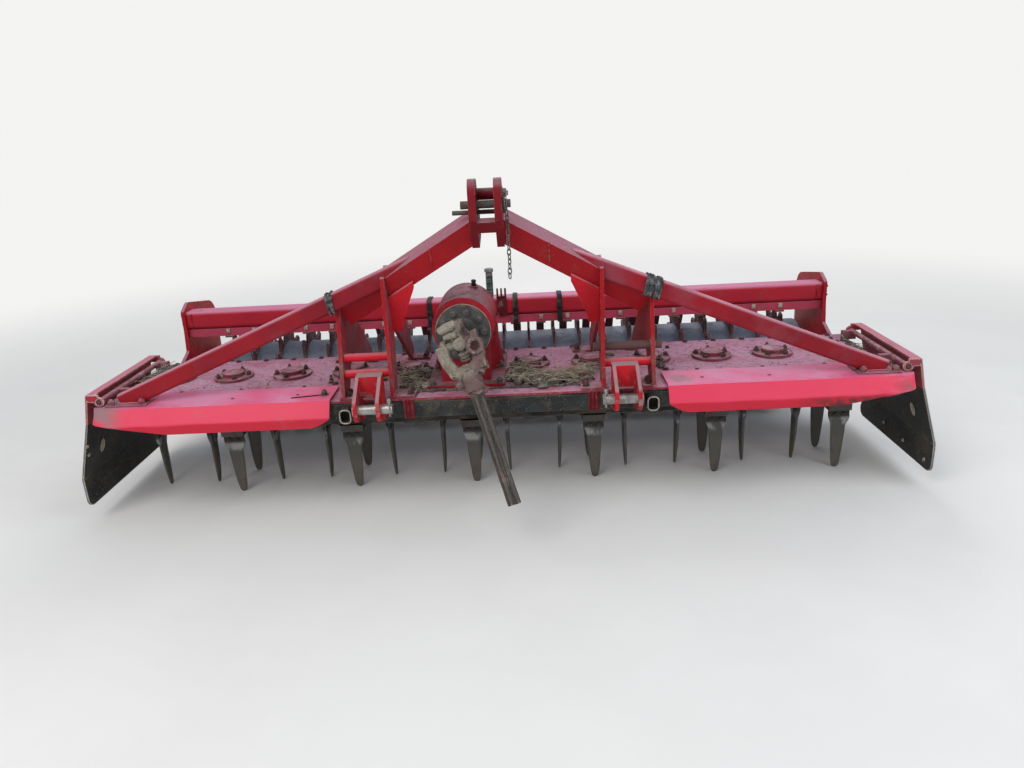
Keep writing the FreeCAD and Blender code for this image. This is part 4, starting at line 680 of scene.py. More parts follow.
def eased(points, rounds=2):
    """An open line with its corners cut off."""
    for _ in range(rounds):
        finer = [points[0]]
        for a, b in zip(points, points[1:]):
            finer += [a.lerp(b, 0.25), a.lerp(b, 0.75)]
        points = finer + [points[-1]]
    return points


# Covers over the rotors: a raised rim, and bolts that stand round it. The gearbox stands on one.
COVER_TOP, COVER_FLANGE, BOLT_CIRCLE = 0.022, 0.0095, 0.063
rims, studs = Form(), Form()
for x in ROTORS[:5] + ROTORS[6:]:
    rims.turned(spot(x, 0, COVER_TOP), UP,
                [(0, 0.045), (0.004, 0.0445), (0.0055, 0.04), (0.0025, 0.035), (0, 0.034)], 36)
    rims.turned(spot(x, 0, COVER_FLANGE), UP, [(0, 0.08), (0.002, 0.0795), (0.003, 0.077), (0, 0.075)], 40)
    first = dice.uniform(0, 1)
    for k in range(5):
        t = first + k * math.pi * 0.4
        place = spot(x + BOLT_CIRCLE * math.cos(t), BOLT_CIRCLE * math.sin(t), COVER_FLANGE)
        studs.bolt(place, tilted(UP, 0.08), 0.017, 0.012, dice.uniform(0.004, 0.009))
rims.piece("cover_rims", cover_red, "deck_paint")
studs.piece("cover_bolts", rusty, "dark_steel")

# Bolts along the lid's rear edge, on the feet and on the lid behind the hoods.
lid_bolts = Form()
for i in range(24):
    lid_bolts.bolt(spot((i - 11.5) * 0.125, 0.231, 0.0), tilted(UP, 0.05), 0.015, 0.008)
BOLT_GROUPS = (
    # height, tilt, width, head, stud, places
    (0.0, 0.06, 0.018, 0.009, 0.0, ((0.66, -0.151),)),
    (0.0, 0.06, 0.013, 0.009, 0.0,
     ((0.777, -0.186), (1.03, -0.19), (1.27, -0.19), (1.43, 0.17), (0.72, 0.15))),
    (0.0065, 0.05, 0.012, 0.006, 0.0, ((0.771, -0.3), (1.02, -0.31))),
    (0.01, 0.05, 0.019, 0.012, 0.005,
     [(x, y) for x in (0.33, 0.565) for y in (-0.3, -0.335, 0.155, 0.188)]),
)
for side in SIDES:
    for height, tilt, width, head, stud, places in BOLT_GROUPS:
        for x, y in places:
            lid_bolts.bolt(spot(side * x, y, height), tilted(UP, tilt), width, head, stud)
lid_bolts.piece("lid_bolts", rusty, "dark_steel")

# Bolts in the braces' foot plates.
foot_bolts = Form()
for side in SIDES:
    for x, y in ((1.357, -0.338), (1.476, -0.262), (1.477, -0.336)):
        foot_bolts.bolt(spot(side * x, y, 0.016), tilted(UP, 0.05), 0.024, 0.015, 0.005)
foot_bolts.piece("brace_foot_bolts", cover_red, "dark_steel")

# The hoods over the front corners: folded sheet, dented, with a rolled outer end.
HOOD_IN, HOOD_REAR_END, HOOD_OUT = 0.631, 1.509, 1.541
HOOD_TAPER = 1.25
FOLD_Y, FACE_Y, LIP_Y = -0.368, -0.404, -0.408
SHEET_TOP, FACE_Z, LIP_Z = 0.006, -0.05, -0.086
HOOD_ROLL = 0.034
SHEET = 0.006


def hood_section():
    """The hood's outer line from its rear edge over the fold and down to the lip, with its outward way."""
    points = []
    corners = [Vector((0, y, z)) for y, z in
               ((-0.205, SHEET_TOP), (FOLD_Y, SHEET_TOP), (FACE_Y, FACE_Z), (LIP_Y, LIP_Z))]
    for a, b, steps in zip(corners, corners[1:], (16, 10, 5)):
        out = X.cross(b - a).normalized()
        for i in range(steps):
            points.append((a.lerp(b, (i + 0.12) / steps), out))
            if i == steps - 1:
                points.append((a.lerp(b, 0.97), out))
    points.append((corners[-1], Vector((0, -1, 0))))
    return points


def hood(form, side):
    section = hood_section()
    rings = []
    stations = 110
    for i in range(stations + 1):
        x = HOOD_IN + (HOOD_OUT - HOOD_IN) * i / stations
        outer = max(0.0, (x - HOOD_TAPER) / (HOOD_OUT - HOOD_TAPER))
        inner = max(0.0, 1 - (x - HOOD_IN) / 0.09)
        low = LIP_Z + 0.048 * outer + 0.034 * inner ** 2
        roll = min(1.0, max(0.0, (x - HOOD_OUT + HOOD_ROLL) / HOOD_ROLL))
        tuck = HOOD_ROLL * (1 - math.sqrt(1 - roll * roll))
        ring, back = [], []
        for p, out in section:
            q = p.copy()
            if q.z < low:
                q.z = low
                q.y = FACE_Y + (low - FACE_Z) * (0.64 if low > FACE_Z else 0.11)
            on_face = min(1.0, max(0.0, (-0.345 - q.y) / 0.03))
            end = x if q.y < -0.352 else min(x, HOOD_REAR_END + 0.0002 * (x - HOOD_REAR_END))
            dent = 0.0022 * noise.noise(Vector((x * side * 6, q.z * 22, 3))) * on_face
            crumple = outer * (0.0065 if side > 0 else 0.0035)
            dent += crumple * noise.noise(Vector((x * side * 24, q.z * 40, 9))) * on_face
            dent -= 0.0035 * math.exp(-((x - 1.02 + 0.2 * side) / 0.05) ** 2 - ((q.z + 0.06) / 0.03) ** 2)
            q += out * dent
            q.y += tuck * on_face
            q.z = max(q.z, low - 0.002)
            ring.append(spot(side * end, q.y, q.z))
            inside = q - out * SHEET
            back.append(spot(side * end, inside.y, max(inside.z, 0.0) if p.y > -0.36 else inside.z))
        rings.append(ring + back[::-1])
    form.loft(rings)


hoods = Form()
for side in SIDES:
    hood(hoods, side)
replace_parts(hoods.piece("dented_hoods", hood_red, "red_paint", crease=24), "front_hoods")

# A flat lever with its nut, left lying on the left hood, and grease nipples beside the headstock.
lever = Form()
lever.block(spot(-0.722, -0.322, 0.0095), (0.135, 0.016, 0.005), (1, 0.17, 0), (-0.17, 1, 0), 0.001)
lever.bolt(spot(-0.664, -0.312, 0.012), UP, 0.022, 0.013, 0.008)
for x, y in ((-0.681, -0.129), (-0.655, -0.075), (0.655, -0.1)):
    lever.turned(spot(x, y, 0), UP, [(0, 0.012), (0.008, 0.012), (0.01, 0.008), (0.022, 0.007),
                                     (0.024, 0.004), (0.03, 0.005), (0.033, 0.003)], 12)
lever.piece("lever_and_nipples", dark_steel, "dark_steel")

# The gearbox: bolts round its flange, a pale gasket, ribs down to the base, breather and base bolts.
shaft = spot(GEARBOX_X, 0, INPUT_HEIGHT)
flange_bolts, gasket, castings = Form(), Form(), Form()
for turn in (148, 112, 76, 38, 2, -32, -68, -112, -150):
    t = math.radians(turn)
    start = shaft + Vector((0.083 * math.cos(t), -0.5, 0.083 * math.sin(t)))
    place, _ = on("input_flange", start, Y)
    flange_bolts.bolt(place, -Y, 0.021, 0.013)
for x in (-0.255, 0.005):
    for y in (-0.262, -0.06, 0.13):
        flange_bolts.bolt(spot(x, y, 0.016), tilted(UP, 0.03), 0.022, 0.014, 0.006)
flange_bolts.piece("gearbox_bolts", grey_cast, "grey_cast")
rim = shaft + Vector((0, -0.232, 0))
gasket.turned(rim, Y, [(-0.002, 0.1035), (-0.002, 0.107), (0.003, 0.107), (0.003, 0.1035)], 64, looped=True)
gasket.piece("flange_gasket", pale_bolt, "zinc")
for x, lean in ((-0.215, 0.5), (-0.035, -0.5)):
    foot = spot(x, -0.15, 0.016)
    rings = []
    for half, front, rear, rise in ((0.006, -0.075, 0.16, 0), (0.004, -0.045, 0.12, 0.11)):
        corners = ((-half, front), (half, front), (half, rear), (-half, rear))
        rings.append([foot + Vector((dx + lean * rise * 0.45, dy, rise)) for dx, dy in corners])
    castings.loft(rings)
place, normal = on("gearbox_housing", spot(-0.088, -0.02, 0.6), -UP)
castings.turned(place - UP * 0.002, UP, [(0, 0.016), (0.008, 0.016), (0.009, 0.012)], 20)
castings.piece("gearbox_ribs", gearbox_red, "gearbox_paint")
breather = Form()
breather.bolt(place + UP * 0.007, UP, 0.02, 0.009, washer=False)
breather.turned(place + UP * 0.016, UP,
                [(0, 0.007), (0.004, 0.007), (0.005, 0.01), (0.014, 0.01), (0.017, 0.006)], 14)
breather.bolt_on("gearbox_housing", spot(0.3, -0.1, 0.17), -X, 0.02, 0.008)
breather.piece("gearbox_plugs", rubber, "dark_steel")

# The filler: a dusty pipe in a nut, and the knurled head that carries the dipstick.
filler = Form()
base = spot(GEARBOX_X + 0.095, 0.085, 0.014)
filler.turned(base, UP, [(0, 0.022), (0.008, 0.022), (0.012, 0.0125), (0.1, 0.0118), (0.155, 0.0125),
                         (0.16, 0.016), (0.18, 0.016), (0.184, 0.0128), (0.25, 0.0124),
                         (0.262, 0.0128)], 18)
knurl = []
for i in range(15):
    h = 0.262 + i * 0.0068
    knurl += [(h, 0.0128), (h + 0.0012, 0.0148), (h + 0.005, 0.0148), (h + 0.0062, 0.0128)]
filler.turned(base, UP, knurl + [(0.366, 0.0128), (0.367, 0.018), (0.378, 0.0185), (0.381, 0.015)], 18)
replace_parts(filler.piece("filler_pipe", grey_tube, "grey_cast"), "filler_tube")
tie = Form()
tie.ring_bead(base + UP * 0.214, UP, 0.0135, 0.0022)
tie.block(base + UP * 0.214 + Vector((0.003, -0.017, 0)), (0.007, 0.006, 0.007), edge=0.0015)
tie.piece("filler_tie", rubber, "dark_steel")


# The universal joint and its half shaft, caked with dry earth, which lies thin on the drawn shaft.
def caked(form, name, node, body, lumps, voxel, swell, shape=None):
    """A node's own form and further shapes under an uneven coat of earth, made into one skin."""
    form.copy_of(node)
    for place, size in lumps:
        form.lump(place, size)
    made = form.build(name, mud, 60)
    skin = made.modifiers.new("skin", "REMESH")
    skin.mode = "VOXEL"
    skin.voxel_size = voxel
    mesh = bpy.data.meshes.new_from_object(made.evaluated_get(bpy.context.evaluated_depsgraph_get()))
    made.modifiers.clear()
    made.data = mesh
    moved = []
    for vertex in mesh.vertices:
        p = vertex.co.copy()
        if shape:
            p = shape(p)
        coat = min(1.0, max(0.25, 1 - ((p - JOINT).dot(TUBE_WAY) - 0.18) / 0.04))
        rise = swell * coat * (noise.noise(p * 42) + 0.5 * noise.noise(p * 105) + 0.35)
        moved.append(p + vertex.normal * rise)
    for vertex, p in zip(mesh.vertices, moved):
        vertex.co = p
    mesh.shade_smooth()
    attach(made, body)
    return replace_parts(made, node)


FLUTES, FLUTE_DEPTH = 5, 0.0065
FLUTE_START, FLUTE_CORE = 0.2, 0.0225


def fluted(p):
    """Presses the lobes of a drawn profile into the shaft below the collar."""
    reach = (p - JOINT).dot(TUBE_WAY)
    centre = JOINT + TUBE_WAY * reach
    out = p - centre
    if reach < FLUTE_START or out.length < FLUTE_CORE:
        return p
    other = TUBE_PIN.cross(TUBE_WAY)
    t = math.atan2(out.dot(other), out.dot(TUBE_PIN))
    lobe = (0.5 + 0.5 * math.cos(FLUTES * t)) ** 0.7
    depth = FLUTE_DEPTH * lobe * min(1.0, (reach - FLUTE_START) / 0.02)
    return centre + out * (1 - depth / out.length)


def in_yoke(across, down, towards=0.0):
    """A point of the shaft's yoke: across along its pins, down the shaft, and towards the tractor."""
    return JOINT + TUBE_PIN * across + TUBE_WAY * down - TUBE_PIN.cross(TUBE_WAY) * towards


ears = Form()
for points, size in ((((-0.071, 0.262), (-0.04, 0.281), (-0.012, 0.292)), 0.017),
                     (((-0.056, 0.242), (-0.034, 0.248), (-0.012, 0.252)), 0.013)):
    ears.tube([spot(GEARBOX_X + x, -0.416, z) for x, z in points], [size * 0.75, size, size * 0.85], 12)
nut = JOINT - Y * 0.006 + INPUT_PIN * 0.034
ears.turned(nut, INPUT_PIN, [(0, 0.019), (0.004, 0.022), (0.008, 0.022), (0.01, 0.0185), (0.013, 0.0185),
                             (0.015, 0.022), (0.021, 0.022), (0.023, 0.018), (0.026, 0.018), (0.028, 0.023),
                             (0.034, 0.02)], 16)
caked(ears, "muddy_input_yoke", "input_yoke", "frame", [
    (JOINT + Y * 0.09, (0.036, 0.02, 0.036)),
    (JOINT + Y * 0.06 - INPUT_PIN * 0.052, (0.024, 0.026, 0.016)),
    (JOINT + Y * 0.004 - INPUT_PIN * 0.06, (0.022, 0.018, 0.012)),
    (JOINT + Y * 0.055 + INPUT_PIN * 0.055, (0.022, 0.022, 0.015)),
], 0.0032, 0.0024)
caked(Form(), "muddy_cross", "joint_cross", "driveline_cross", [(JOINT, 0.028)], 0.003, 0.0016)
fork = Form()
arms = ((-0.069, 0.0, 0.01), (-0.069, 0.065, 0.01), (-0.036, 0.113, 0.01),
        (0.012, 0.113, 0.008), (0.054, 0.08, 0.01), (0.06, 0.012, 0.012))
fork.tube(eased([in_yoke(*place) for place in arms]), 0.0225, 14)
fork.turned(EYE, EYE_WAY, [(-0.017, 0.018), (-0.01, 0.027), (0.006, 0.031), (0.014, 0.029), (0.013, 0.02),
                           (0.002, 0.018), (0.001, 0.003)], 28)
caked(fork, "muddy_half_shaft", "driveline_tube", "driveline", [
    (in_yoke(0.048, 0.056, 0.004), (0.021, 0.022, 0.026)),
    (in_yoke(-0.07, 0.004), (0.012, 0.023, 0.024)),
    (in_yoke(-0.03, 0.108), (0.036, 0.028, 0.024)),
    (in_yoke(0.028, 0.112), (0.034, 0.03, 0.026)),
    (in_yoke(0.0, 0.168), (0.038, 0.038, 0.03)),
    (in_yoke(0.012, 0.186), (0.032, 0.034, 0.016)),
    (in_yoke(-0.045, 0.15, 0.014), (0.015, 0.014, 0.015)),
], 0.003, 0.0034, fluted)

# Headstock: weld beads, clamps on the front bar, rope on the braces.
PLATE_FACES = (0.388, 0.402, 0.574, 0.588)
welds = Form()
for side in SIDES:
    for place in PLATE_FACES:
        for near, far in ((-0.36, -0.276), (0.141, 0.203)):
            welds.bead(spot(side * place, near, 0.011), spot(side * place, far, 0.011), 0.0042)
    for place, y, z in ((0.402, -0.318, 0.092), (0.402, -0.306, 0.152), (0.574, -0.318, 0.092),
                        (0.574, -0.306, 0.152), (0.588, -0.306, 0.152)):
        welds.ring_bead(spot(side * place, y, z), X, 0.0165)
    for x in (0.422, 0.435, 0.505, 0.518):
        welds.bead(spot(side * x, -0.363, -0.07), spot(side * x, -0.363, -0.004), 0.0035)
    for y in (-0.327, -0.273):
        welds.bead(spot(side * 1.372, y, 0.017), spot(side * 1.452, y, 0.017), 0.0045)
    for y in (0.399, 0.501):
        welds.bead(spot(side * 1.441, y, 0.125), spot(side * 1.441, y, 0.193), 0.0035)
    seam = [on("main_beams", spot(side * 0.209, -0.7, 0.486 + 0.0088 * step), Y)[0] for step in range(9)]
    welds.tube([p for p in seam if p], 0.0036, 6)
welds.piece("weld_beads", red, "red_paint")

BRACE_TOP = Vector((0.282, -0.3, 0.492))
BRACE_FOOT = Vector((1.384, -0.3, 0.043))
BRACE_HALF_DEEP, BRACE_HALF_HIGH = 0.0275, 0.037


def lashing(form, side, x, lean):
    """One turn of rope round a brace."""
    run = BRACE_FOOT - BRACE_TOP
    centre = BRACE_TOP + run * ((x - BRACE_TOP.x) / run.x)
    along = Vector((run.x, 0, run.z)).normalized()
    up = Vector((-along.z, 0, along.x))
    points = []
    for t in round_steps(26):
        c, s = math.cos(t), math.sin(t)
        flat = 1 / max(abs(c), abs(s)) ** 0.8
        p = centre + Y * (BRACE_HALF_DEEP * c * flat) + up * (BRACE_HALF_HIGH * s * flat) + along * lean * s
        p += shake(0.0012)
        points.append(spot(side * p.x, p.y, p.z))
    form.tube(points, 0.0042, 7, looped=True)


ropes = Form()
TURNS = ((1, (0.556, 0.563, 0.571, 0.578, 0.585, 0.592, 0.6, 0.607)), (-1, (0.59, 0.598, 0.606)))
for side, places in TURNS:
    for x in places:
        lashing(ropes, side, x, dice.uniform(-0.012, 0.012))
ropes.lump(spot(0.572, -0.334, 0.394), (0.02, 0.011, 0.016))
ropes.lump(spot(0.596, -0.333, 0.378), (0.013, 0.011, 0.018))
ropes.lump(spot(-0.598, -0.333, 0.386), (0.013, 0.011, 0.013))
ropes.piece("rope_lashings", rope, "black_paint")

clamps = Form()
for x in (-0.337, 0.356):
    clamps.block(spot(x, -0.365, -0.04), (0.04, 0.006, 0.076), edge=0.002)
    for dx in (-0.017, -0.003, 0.011):
        clamps.block(spot(x + dx, -0.3705, -0.04), (0.005, 0.007, 0.072), edge=0.0015)
clamps.piece("bar_clamps", clevis_red, "red_paint")

# The top clevis: a bolt through the spacer, the pin's collar, and the chain.
clevis = Form()
clevis.bolt(spot(0.056, -0.395, 0.734), X, 0.029, 0.013, 0.005)
clevis.piece("spacer_bolt", zinc, "zinc")
collar = Form()
collar.turned(spot(0.057, TOP_PIN_BACK, TOP_PIN_HEIGHT), X,
              [(0, 0.024), (0.006, 0.025), (0.007, 0.021), (0.009, 0.021), (0.01, 0.014)], 28)
collar.piece("clevis_collars", dark_steel, "dark_steel")


def oval(centre, across, along, width, length, steps=18):
    """The line of one chain link."""
    points = []
    for i in range(steps):
        t = 2 * math.pi * (i + 0.5) / steps
        c, s = math.cos(t), math.sin(t)
        reach = s * width / 2 + math.copysign((length - width) / 2, s)
        points.append(centre + across * c * width / 2 + along * reach)
    return points


LINK_PITCH, LINK_WIDE, LINK_LONG = 0.0162, 0.0125, 0.0205
chain = Form()
TOP_PIN = spot(0.07, TOP_PIN_BACK, TOP_PIN_HEIGHT)
chain.tube([TOP_PIN + Y * 0.0185 * math.cos(t) + UP * (0.0185 * math.sin(t) - 0.0035)
            for t in round_steps(24)], 0.0026, 8, looped=True)
for i in range(14):
    spin = 0.7 + i * math.pi / 2 + dice.uniform(-0.25, 0.25)
    across = Vector((math.cos(spin), math.sin(spin), 0))
    centre = TOP_PIN - UP * (0.033 + LINK_PITCH * i)
    centre += Vector((dice.uniform(-1, 1), dice.uniform(-1, 1), 0)) * 0.0008
    chain.tube(oval(centre, across, UP, LINK_WIDE, LINK_LONG), 0.002, 7, looped=True)
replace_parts(chain.piece("link_chain", dark_steel, "dark_steel"), "safety_chain")

# Lower link pins: linch pins with their rings at the inner ends, and collars outside.
linch = Form()
for side in SIDES:
    tip = spot(side * 0.392, LOW_PIN_BACK, LOW_PIN_HEIGHT)
    linch.tube([tip - UP * 0.03, tip + UP * 0.03], 0.0042, 10)
    linch.turned(tip + UP * 0.024, UP, [(0, 0.008), (0.008, 0.009), (0.014, 0.007)], 12)
    hoop = [tip + Vector((0, -0.021 * math.cos(t), 0.002 + 0.031 * math.sin(t))) + X * side * -0.004
            for t in round_steps(26)]
    linch.tube(hoop, 0.002, 7, looped=True)
    collar = spot(side * 0.518, LOW_PIN_BACK, LOW_PIN_HEIGHT)
    linch.turned(collar, X * side, [(0, 0.026), (0.005, 0.026), (0.007, 0.023)], 26)
linch.piece("linch_pins", zinc, "zinc")

# Sockets beside the brackets: rounded tubes with a bare rim.
sockets, bare_rims = Form(), Form()


SOCKET_X, SOCKET_HEIGHT = 0.57, -0.045
SOCKET_HALF_WIDE, SOCKET_HALF_HIGH, SOCKET_CORNER = 0.023, 0.029, 0.018


def stadium(x, y, inset):
    """A rounded ring of a socket, facing the tractor."""
    outline = rounded(SOCKET_HALF_WIDE, SOCKET_HALF_HIGH, SOCKET_CORNER, inset, 6)
    return [spot(x + i, y, SOCKET_HEIGHT + j) for i, j in outline]


for side in SIDES:
    x = side * SOCKET_X
    shell = ((-0.362, 0), (-0.412, 0), (-0.4135, 0.0015), (-0.4135, 0.0045), (-0.412, 0.006), (-0.364, 0.006))
    sockets.loft([stadium(x, y, inset) for y, inset in shell], looped=True)
    sockets.loft([stadium(x, -0.364, 0.004), stadium(x, -0.37, 0.005)])
    rim = ((-0.4128, 0.0005), (-0.4144, 0.0015), (-0.4144, 0.0045), (-0.4128, 0.0058))
    bare_rims.loft([stadium(x, y, inset) for y, inset in rim], looped=True)
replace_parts(sockets.piece("rounded_sockets", black, "black_paint"), "bar_sockets")
bare_rims.piece("socket_rims", pale_bolt, "zinc")

# Side plates: the hole's bare rim, bolts, and nuts on the hinge.
SIDE_MARKS = (
    (-1, "side_left", (-0.212, -0.195),
     ((-0.334, -0.15), (-0.318, -0.192), (0.06, -0.11), (0.12, -0.25))),
    (1, "side_right", (-0.212, -0.189),
     ((0.073, -0.359), (-0.109, -0.367), (-0.286, -0.374), (0.08, -0.12))),
)
for side, body, (hole_y, hole_z), bolts in SIDE_MARKS:
    node = body.replace("side_", "side_plate_")
    marks, hole = Form(), Form()
    place, normal = on(node, spot(side * 1.2, hole_y, hole_z), X * side)
    slope = normal.cross(Y).normalized()
    oval_rim = [place + Y * 0.013 * math.cos(t) + slope * 0.026 * math.sin(t) for t in round_steps(28)]
    hole.tube([p + normal * 0.001 for p in oval_rim], 0.0028, 6, looped=True)
    hole.loft([[p + normal * h for p in oval_rim] for h in (0.0002, 0.0008)])
    hole.piece(node + "_hole_rim", pale_bolt, "zinc", body)
    for y, z in bolts:
        place, normal = on(node, spot(side * 1.2, y, z), X * side)
        marks.turned(place - normal * 0.0005, normal,
                     [(0, 0.0075), (0.0035, 0.0072), (0.0055, 0.005), (0.006, 0.002)], 16)
    marks.piece(node + "_bolts", pale_bolt, "zinc", body)
HINGE_X, HINGE_HEIGHT = 1.52, 0.031
hinge_nuts = Form()
for side in SIDES:
    for y, way in ((-0.341, -Y), (0.196, Y)):
        hinge_nuts.turned(spot(side * HINGE_X, y, HINGE_HEIGHT), way,
                          [(0, 0.009), (0.004, 0.009), (0.006, 0.006)], 14)
hinge_nuts.piece("hinge_ends", rusty, "dark_steel")

# The roller's frame: straps round the beam, a hose bracket, caps on the scraper bar, scraper bolts.
straps = Form()
for x in (-0.33, 0.066, 0.27):
    loop = [(0.397, 0.078), (0.397, 0.1), (0.397, 0.185), (0.401, 0.196), (0.41, 0.2025), (0.45, 0.203),
            (0.49, 0.2025), (0.499, 0.196), (0.503, 0.185), (0.503, 0.13), (0.498, 0.112), (0.452, 0.08),
            (0.44, 0.0765), (0.41, 0.0765)]
    straps.band([spot(x, y, z) for y, z in loop], X, 0.022, 0.003, looped=True)
    straps.block(spot(x, 0.394, 0.15), (0.026, 0.006, 0.014), edge=0.002)
straps.piece("beam_straps", rubber, "black_paint", "roller_frame")
bracket = Form()
bracket.block(spot(0.005, 0.396, 0.165), (0.046, 0.007, 0.09), edge=0.002)
for dx in (-0.018, 0, 0.018):
    bracket.block(spot(0.005 + dx, 0.392, 0.225), (0.009, 0.014, 0.044), edge=0.002)
bracket.piece("hose_bracket", maroon, "red_paint", "roller_frame")
caps, scraper_bolts = Form(), Form()
for x in SCRAPERS:
    caps.block(spot(x, 0.4055, 0.103), (0.018, 0.006, 0.022), edge=0.002)
    for z in (0.055, 0.022):
        scraper_bolts.bolt_on("scrapers", spot(x, 0.2, z), Y, 0.02, 0.01)
caps.piece("scraper_clips", pale_bolt, "zinc", "roller_frame")
scraper_bolts.piece("scraper_bolts", pale_bolt, "zinc", "roller_frame")

# Bolts and the bearing's cap on each arm.
arm_bolts = Form()
BEARING_BOLTS = 0.048 * math.sqrt(0.5)
ARM_BOLTS = [(AXLE_BACK + i * BEARING_BOLTS, AXLE_HEIGHT + j * BEARING_BOLTS) for i in SIDES for j in SIDES]
ARM_BOLTS += [(0.425, 0.14), (0.475, 0.14), (0.425, 0.18), (0.475, 0.18)]
for side, arm in zip(SIDES, ("roller_arm_left", "roller_arm_right")):
    for y, z in ARM_BOLTS:
        arm_bolts.bolt_on(arm, spot(side * 1.6, y, z), -X * side, 0.019, 0.011, 0.004)
    arm_bolts.turned(spot(side * 1.483, AXLE_BACK, AXLE_HEIGHT), X * side,
                     [(0, 0.03), (0.002, 0.03), (0.004, 0.024), (0.004, 0.01)], 30)
arm_bolts.piece("arm_bolts", rusty, "dark_steel", "roller_frame")


# Worn tines: blades that narrow and thin towards the tip, with a hooked shoulder and two bolts each.
TINE_CIRCLE, WEAR_HEIGHT = 0.112, 0.2


def blade(form, centre, across, out, phase):
    """across is the blade's width, out points away from the rotor's shaft. Rows run from top to tip."""
    rows = ((0.258, 0.041, 0.041, 0.008), (0.238, 0.041, 0.041, 0.008), (0.228, 0.043, 0.04, 0.008),
            (0.216, 0.04, 0.036, 0.008), (0.204, 0.034, 0.031, 0.008), (0.19, 0.03, 0.029, 0.0078),
            (0.16, 0.029, 0.027, 0.0076), (0.125, 0.027, 0.025, 0.0073), (0.09, 0.025, 0.022, 0.007),
            (0.06, 0.023, 0.019, 0.0066), (0.03, 0.02, 0.016, 0.006), (0.01, 0.016, 0.012, 0.005),
            (0.003, 0.012, 0.008, 0.004), (0.0, 0.008, 0.004, 0.0025))
    rings = []
    for z, ahead, behind, half in rows:
        worn = 0.0 if z > WEAR_HEIGHT else 0.0016 * noise.noise(Vector((z * 60, phase, 0)))
        bow = -0.006 * max(0.0, (WEAR_HEIGHT - z) / WEAR_HEIGHT) ** 2
        edge = 0.35 if z < WEAR_HEIGHT else 0.85
        outline = [(ahead + worn, half * edge), (ahead - 0.008, half), (0.0, half), (0.008 - behind, half),
                   (-behind, half * edge), (-behind, -half * edge), (0.008 - behind, -half), (0.0, -half),
                   (ahead - 0.008, -half), (ahead + worn, -half * edge)]
        rings.append([centre + across * a + out * (b + bow) + UP * z for a, b in outline])
    form.loft(rings)
    for a in (-0.018, 0.018):
        form.bolt(centre + across * a + out * 0.0075 + UP * 0.24, out, 0.016, 0.006, washer=False)


for i, x in enumerate(ROTORS):
    pair = Form()
    out = X if i % 2 == 0 else Y
    across = UP.cross(out)
    for sign in SIDES:
        centre = Vector((x, ROTOR_Y, 0)) + out * sign * TINE_CIRCLE
        blade(pair, centre, across * sign, out * sign, i * 3 + sign)
    number = f"{i + 1:02d}"
    worn = pair.piece("worn_tines_" + number, tine_steel, "tine_steel", "rotor_" + number, crease=30)
    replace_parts(worn, "tine_pair_" + number)

# Earth and straw that have settled on the lid.
heaps, crumbs, stalks = Form(), Form(), Form()
HEAPS = (
    # middle, spread, clods, largest radius, stalks
    ((0.09, -0.2), (0.06, 0.06), 60, 0.024, 40),
    ((0.17, -0.24), (0.07, 0.045), 50, 0.022, 80),
    ((0.26, -0.22), (0.075, 0.045), 26, 0.017, 170),
    ((0.08, -0.06), (0.055, 0.06), 26, 0.018, 40),
    ((0.345, -0.13), (0.03, 0.06), 14, 0.014, 60),
    ((0.44, 0.02), (0.04, 0.1), 20, 0.012, 24),
    ((-0.35, -0.12), (0.06, 0.08), 40, 0.021, 60),
    ((-0.32, -0.26), (0.05, 0.03), 22, 0.015, 30),
    ((-0.44, -0.02), (0.04, 0.1), 16, 0.013, 16),
    ((0.645, -0.06), (0.018, 0.06), 10, 0.014, 10),
    ((-1.475, -0.02), (0.016, 0.11), 46, 0.018, 14),
    ((-1.465, 0.14), (0.02, 0.06), 18, 0.015, 6),
    ((1.475, 0.02), (0.014, 0.11), 22, 0.012, 14),
)
for (x, y), (wide, deep), count, largest, blades in HEAPS:
    for _ in range(count):
        px, py = dice.gauss(x, wide * 0.6), dice.gauss(y, deep * 0.6)
        if not -0.345 < py < 0.235:
            continue
        size = largest * dice.uniform(0.35, 1)
        nearness = math.exp(-((px - x) / wide) ** 2 - ((py - y) / deep) ** 2)
        heaps.lump(spot(px, py, size * 0.3 + largest * 0.6 * nearness), (size, size, size * 0.75), 2)
    for _ in range(blades):
        px, py = dice.gauss(x, wide * 0.7), dice.gauss(y, deep * 0.7)
        if not -0.33 < py < 0.22:
            continue
        turn, length = dice.uniform(0, math.pi), dice.uniform(0.025, 0.11)
        way = Vector((math.cos(turn), math.sin(turn), dice.uniform(-0.12, 0.12)))
        lift = largest * dice.uniform(0.6, 1.7)
        bend = shake(length * 0.12)
        bend.z = abs(bend.z)
        points = [spot(px, py, lift) + way * length * (s - 0.5) + bend * (1 - (2 * s - 1) ** 2)
                  for s in (0, 0.25, 0.5, 0.75, 1)]
        points = [Vector((p.x, p.y, max(p.z, LID + 0.002))) for p in points]
        stalks.tube(points, dice.uniform(0.0006, 0.0013), 4)
for i in range(64):
    x = -0.31 + i * 0.0097
    size = dice.uniform(0.7, 1.6) * (1.3 if x < -0.12 else 0.8)
    heaps.lump(spot(x, -0.292 + dice.uniform(-1, 1) * 0.005, 0.003), (0.011, 0.008 * size, 0.006 * size), 1)
for _ in range(240):
    x, y = dice.uniform(-1.45, 1.45), dice.uniform(-0.2, 0.238)
    size = dice.uniform(0.0012, 0.0036)
    crumbs.lump(spot(x, y, size * 0.4), (size, size, size * 0.8), 1)
heaps.piece("earth_on_lid", clods, "deck_paint", crease=60)
crumbs.piece("crumbs_on_lid", clods, "deck_paint", crease=60)
stalks.piece("straw_on_lid", straw, "deck_paint", crease=60)

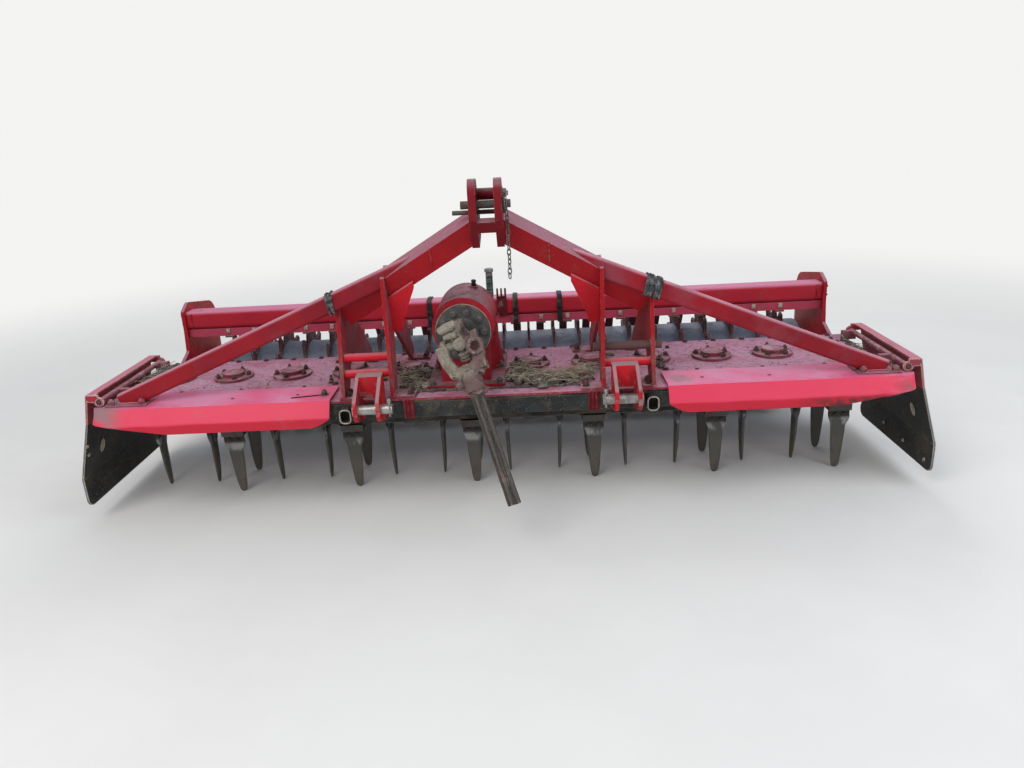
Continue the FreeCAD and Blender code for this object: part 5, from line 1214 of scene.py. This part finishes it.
# Light and floor. Far from the machine the floor fades into the plain backdrop.
BACKDROP = (0.9, 0.9, 0.89, 1)
world = bpy.data.worlds.new("world")
bpy.context.scene.world = world
air = Shading(world)
sky = air.light("ShaderNodeBackground", (0.86, 0.93, 1.0, 1), 0.46)
plain = air.light("ShaderNodeBackground", BACKDROP)
seen = air.add("ShaderNodeLightPath").outputs["Is Camera Ray"]
air.join(air.mixed(seen, sky, plain), air.add("ShaderNodeOutputWorld").inputs[0])

LAMPS = (
    # name, place, width, watts, colour
    ("key", (-2.4, -3.6, 4.2), 3.5, 150, (1.0, 0.97, 0.93)),
    ("fill", (3.6, -2.2, 3.0), 3.0, 74, (0.92, 0.96, 1.0)),
    ("back", (0.6, 4.2, 3.6), 3.5, 98, (1.0, 0.98, 0.95)),
)
for name, place, width, watts, colour in LAMPS:
    data = bpy.data.lights.new(name, "AREA")
    data.shape = "SQUARE"
    data.size = width
    data.energy = watts
    data.color = colour
    lamp = bpy.data.objects.new(name, data)
    bpy.context.scene.collection.objects.link(lamp)
    lamp.location = place
    lamp.rotation_euler = (Vector((0, 0, 0.4)) - Vector(place)).to_track_quat("-Z", "Y").to_euler()

floor_mesh = bpy.data.meshes.new("floor")
floor_mesh.from_pydata([(-60, -30, 0), (60, -30, 0), (60, 90, 0), (-60, 90, 0)], [], [(0, 1, 2, 3)])
floor = bpy.data.objects.new("floor", floor_mesh)
bpy.context.scene.collection.objects.link(floor)
ground = shaded("floor", (0.84, 0.83, 0.815), 0.9, specular=0.1, layers=[
    ((0.82, 0.81, 0.795), 0.9, 1.0, ("noise", 1.5, 0.4, 0.6)),
], soft_edges=0.001)
floor_mesh.materials.append(ground.material)
fade = ground.ramp(ground.vector("DISTANCE", ground.place, (0, 0, 0)), 2.4, 6.5)
seen = ground.add("ShaderNodeLightPath").outputs["Is Camera Ray"]
glow = ground.light("ShaderNodeEmission", BACKDROP)
ground.join(ground.mixed(ground.math("MULTIPLY", fade, seen), ground.shader.outputs[0], glow),
            ground.out.inputs[0])
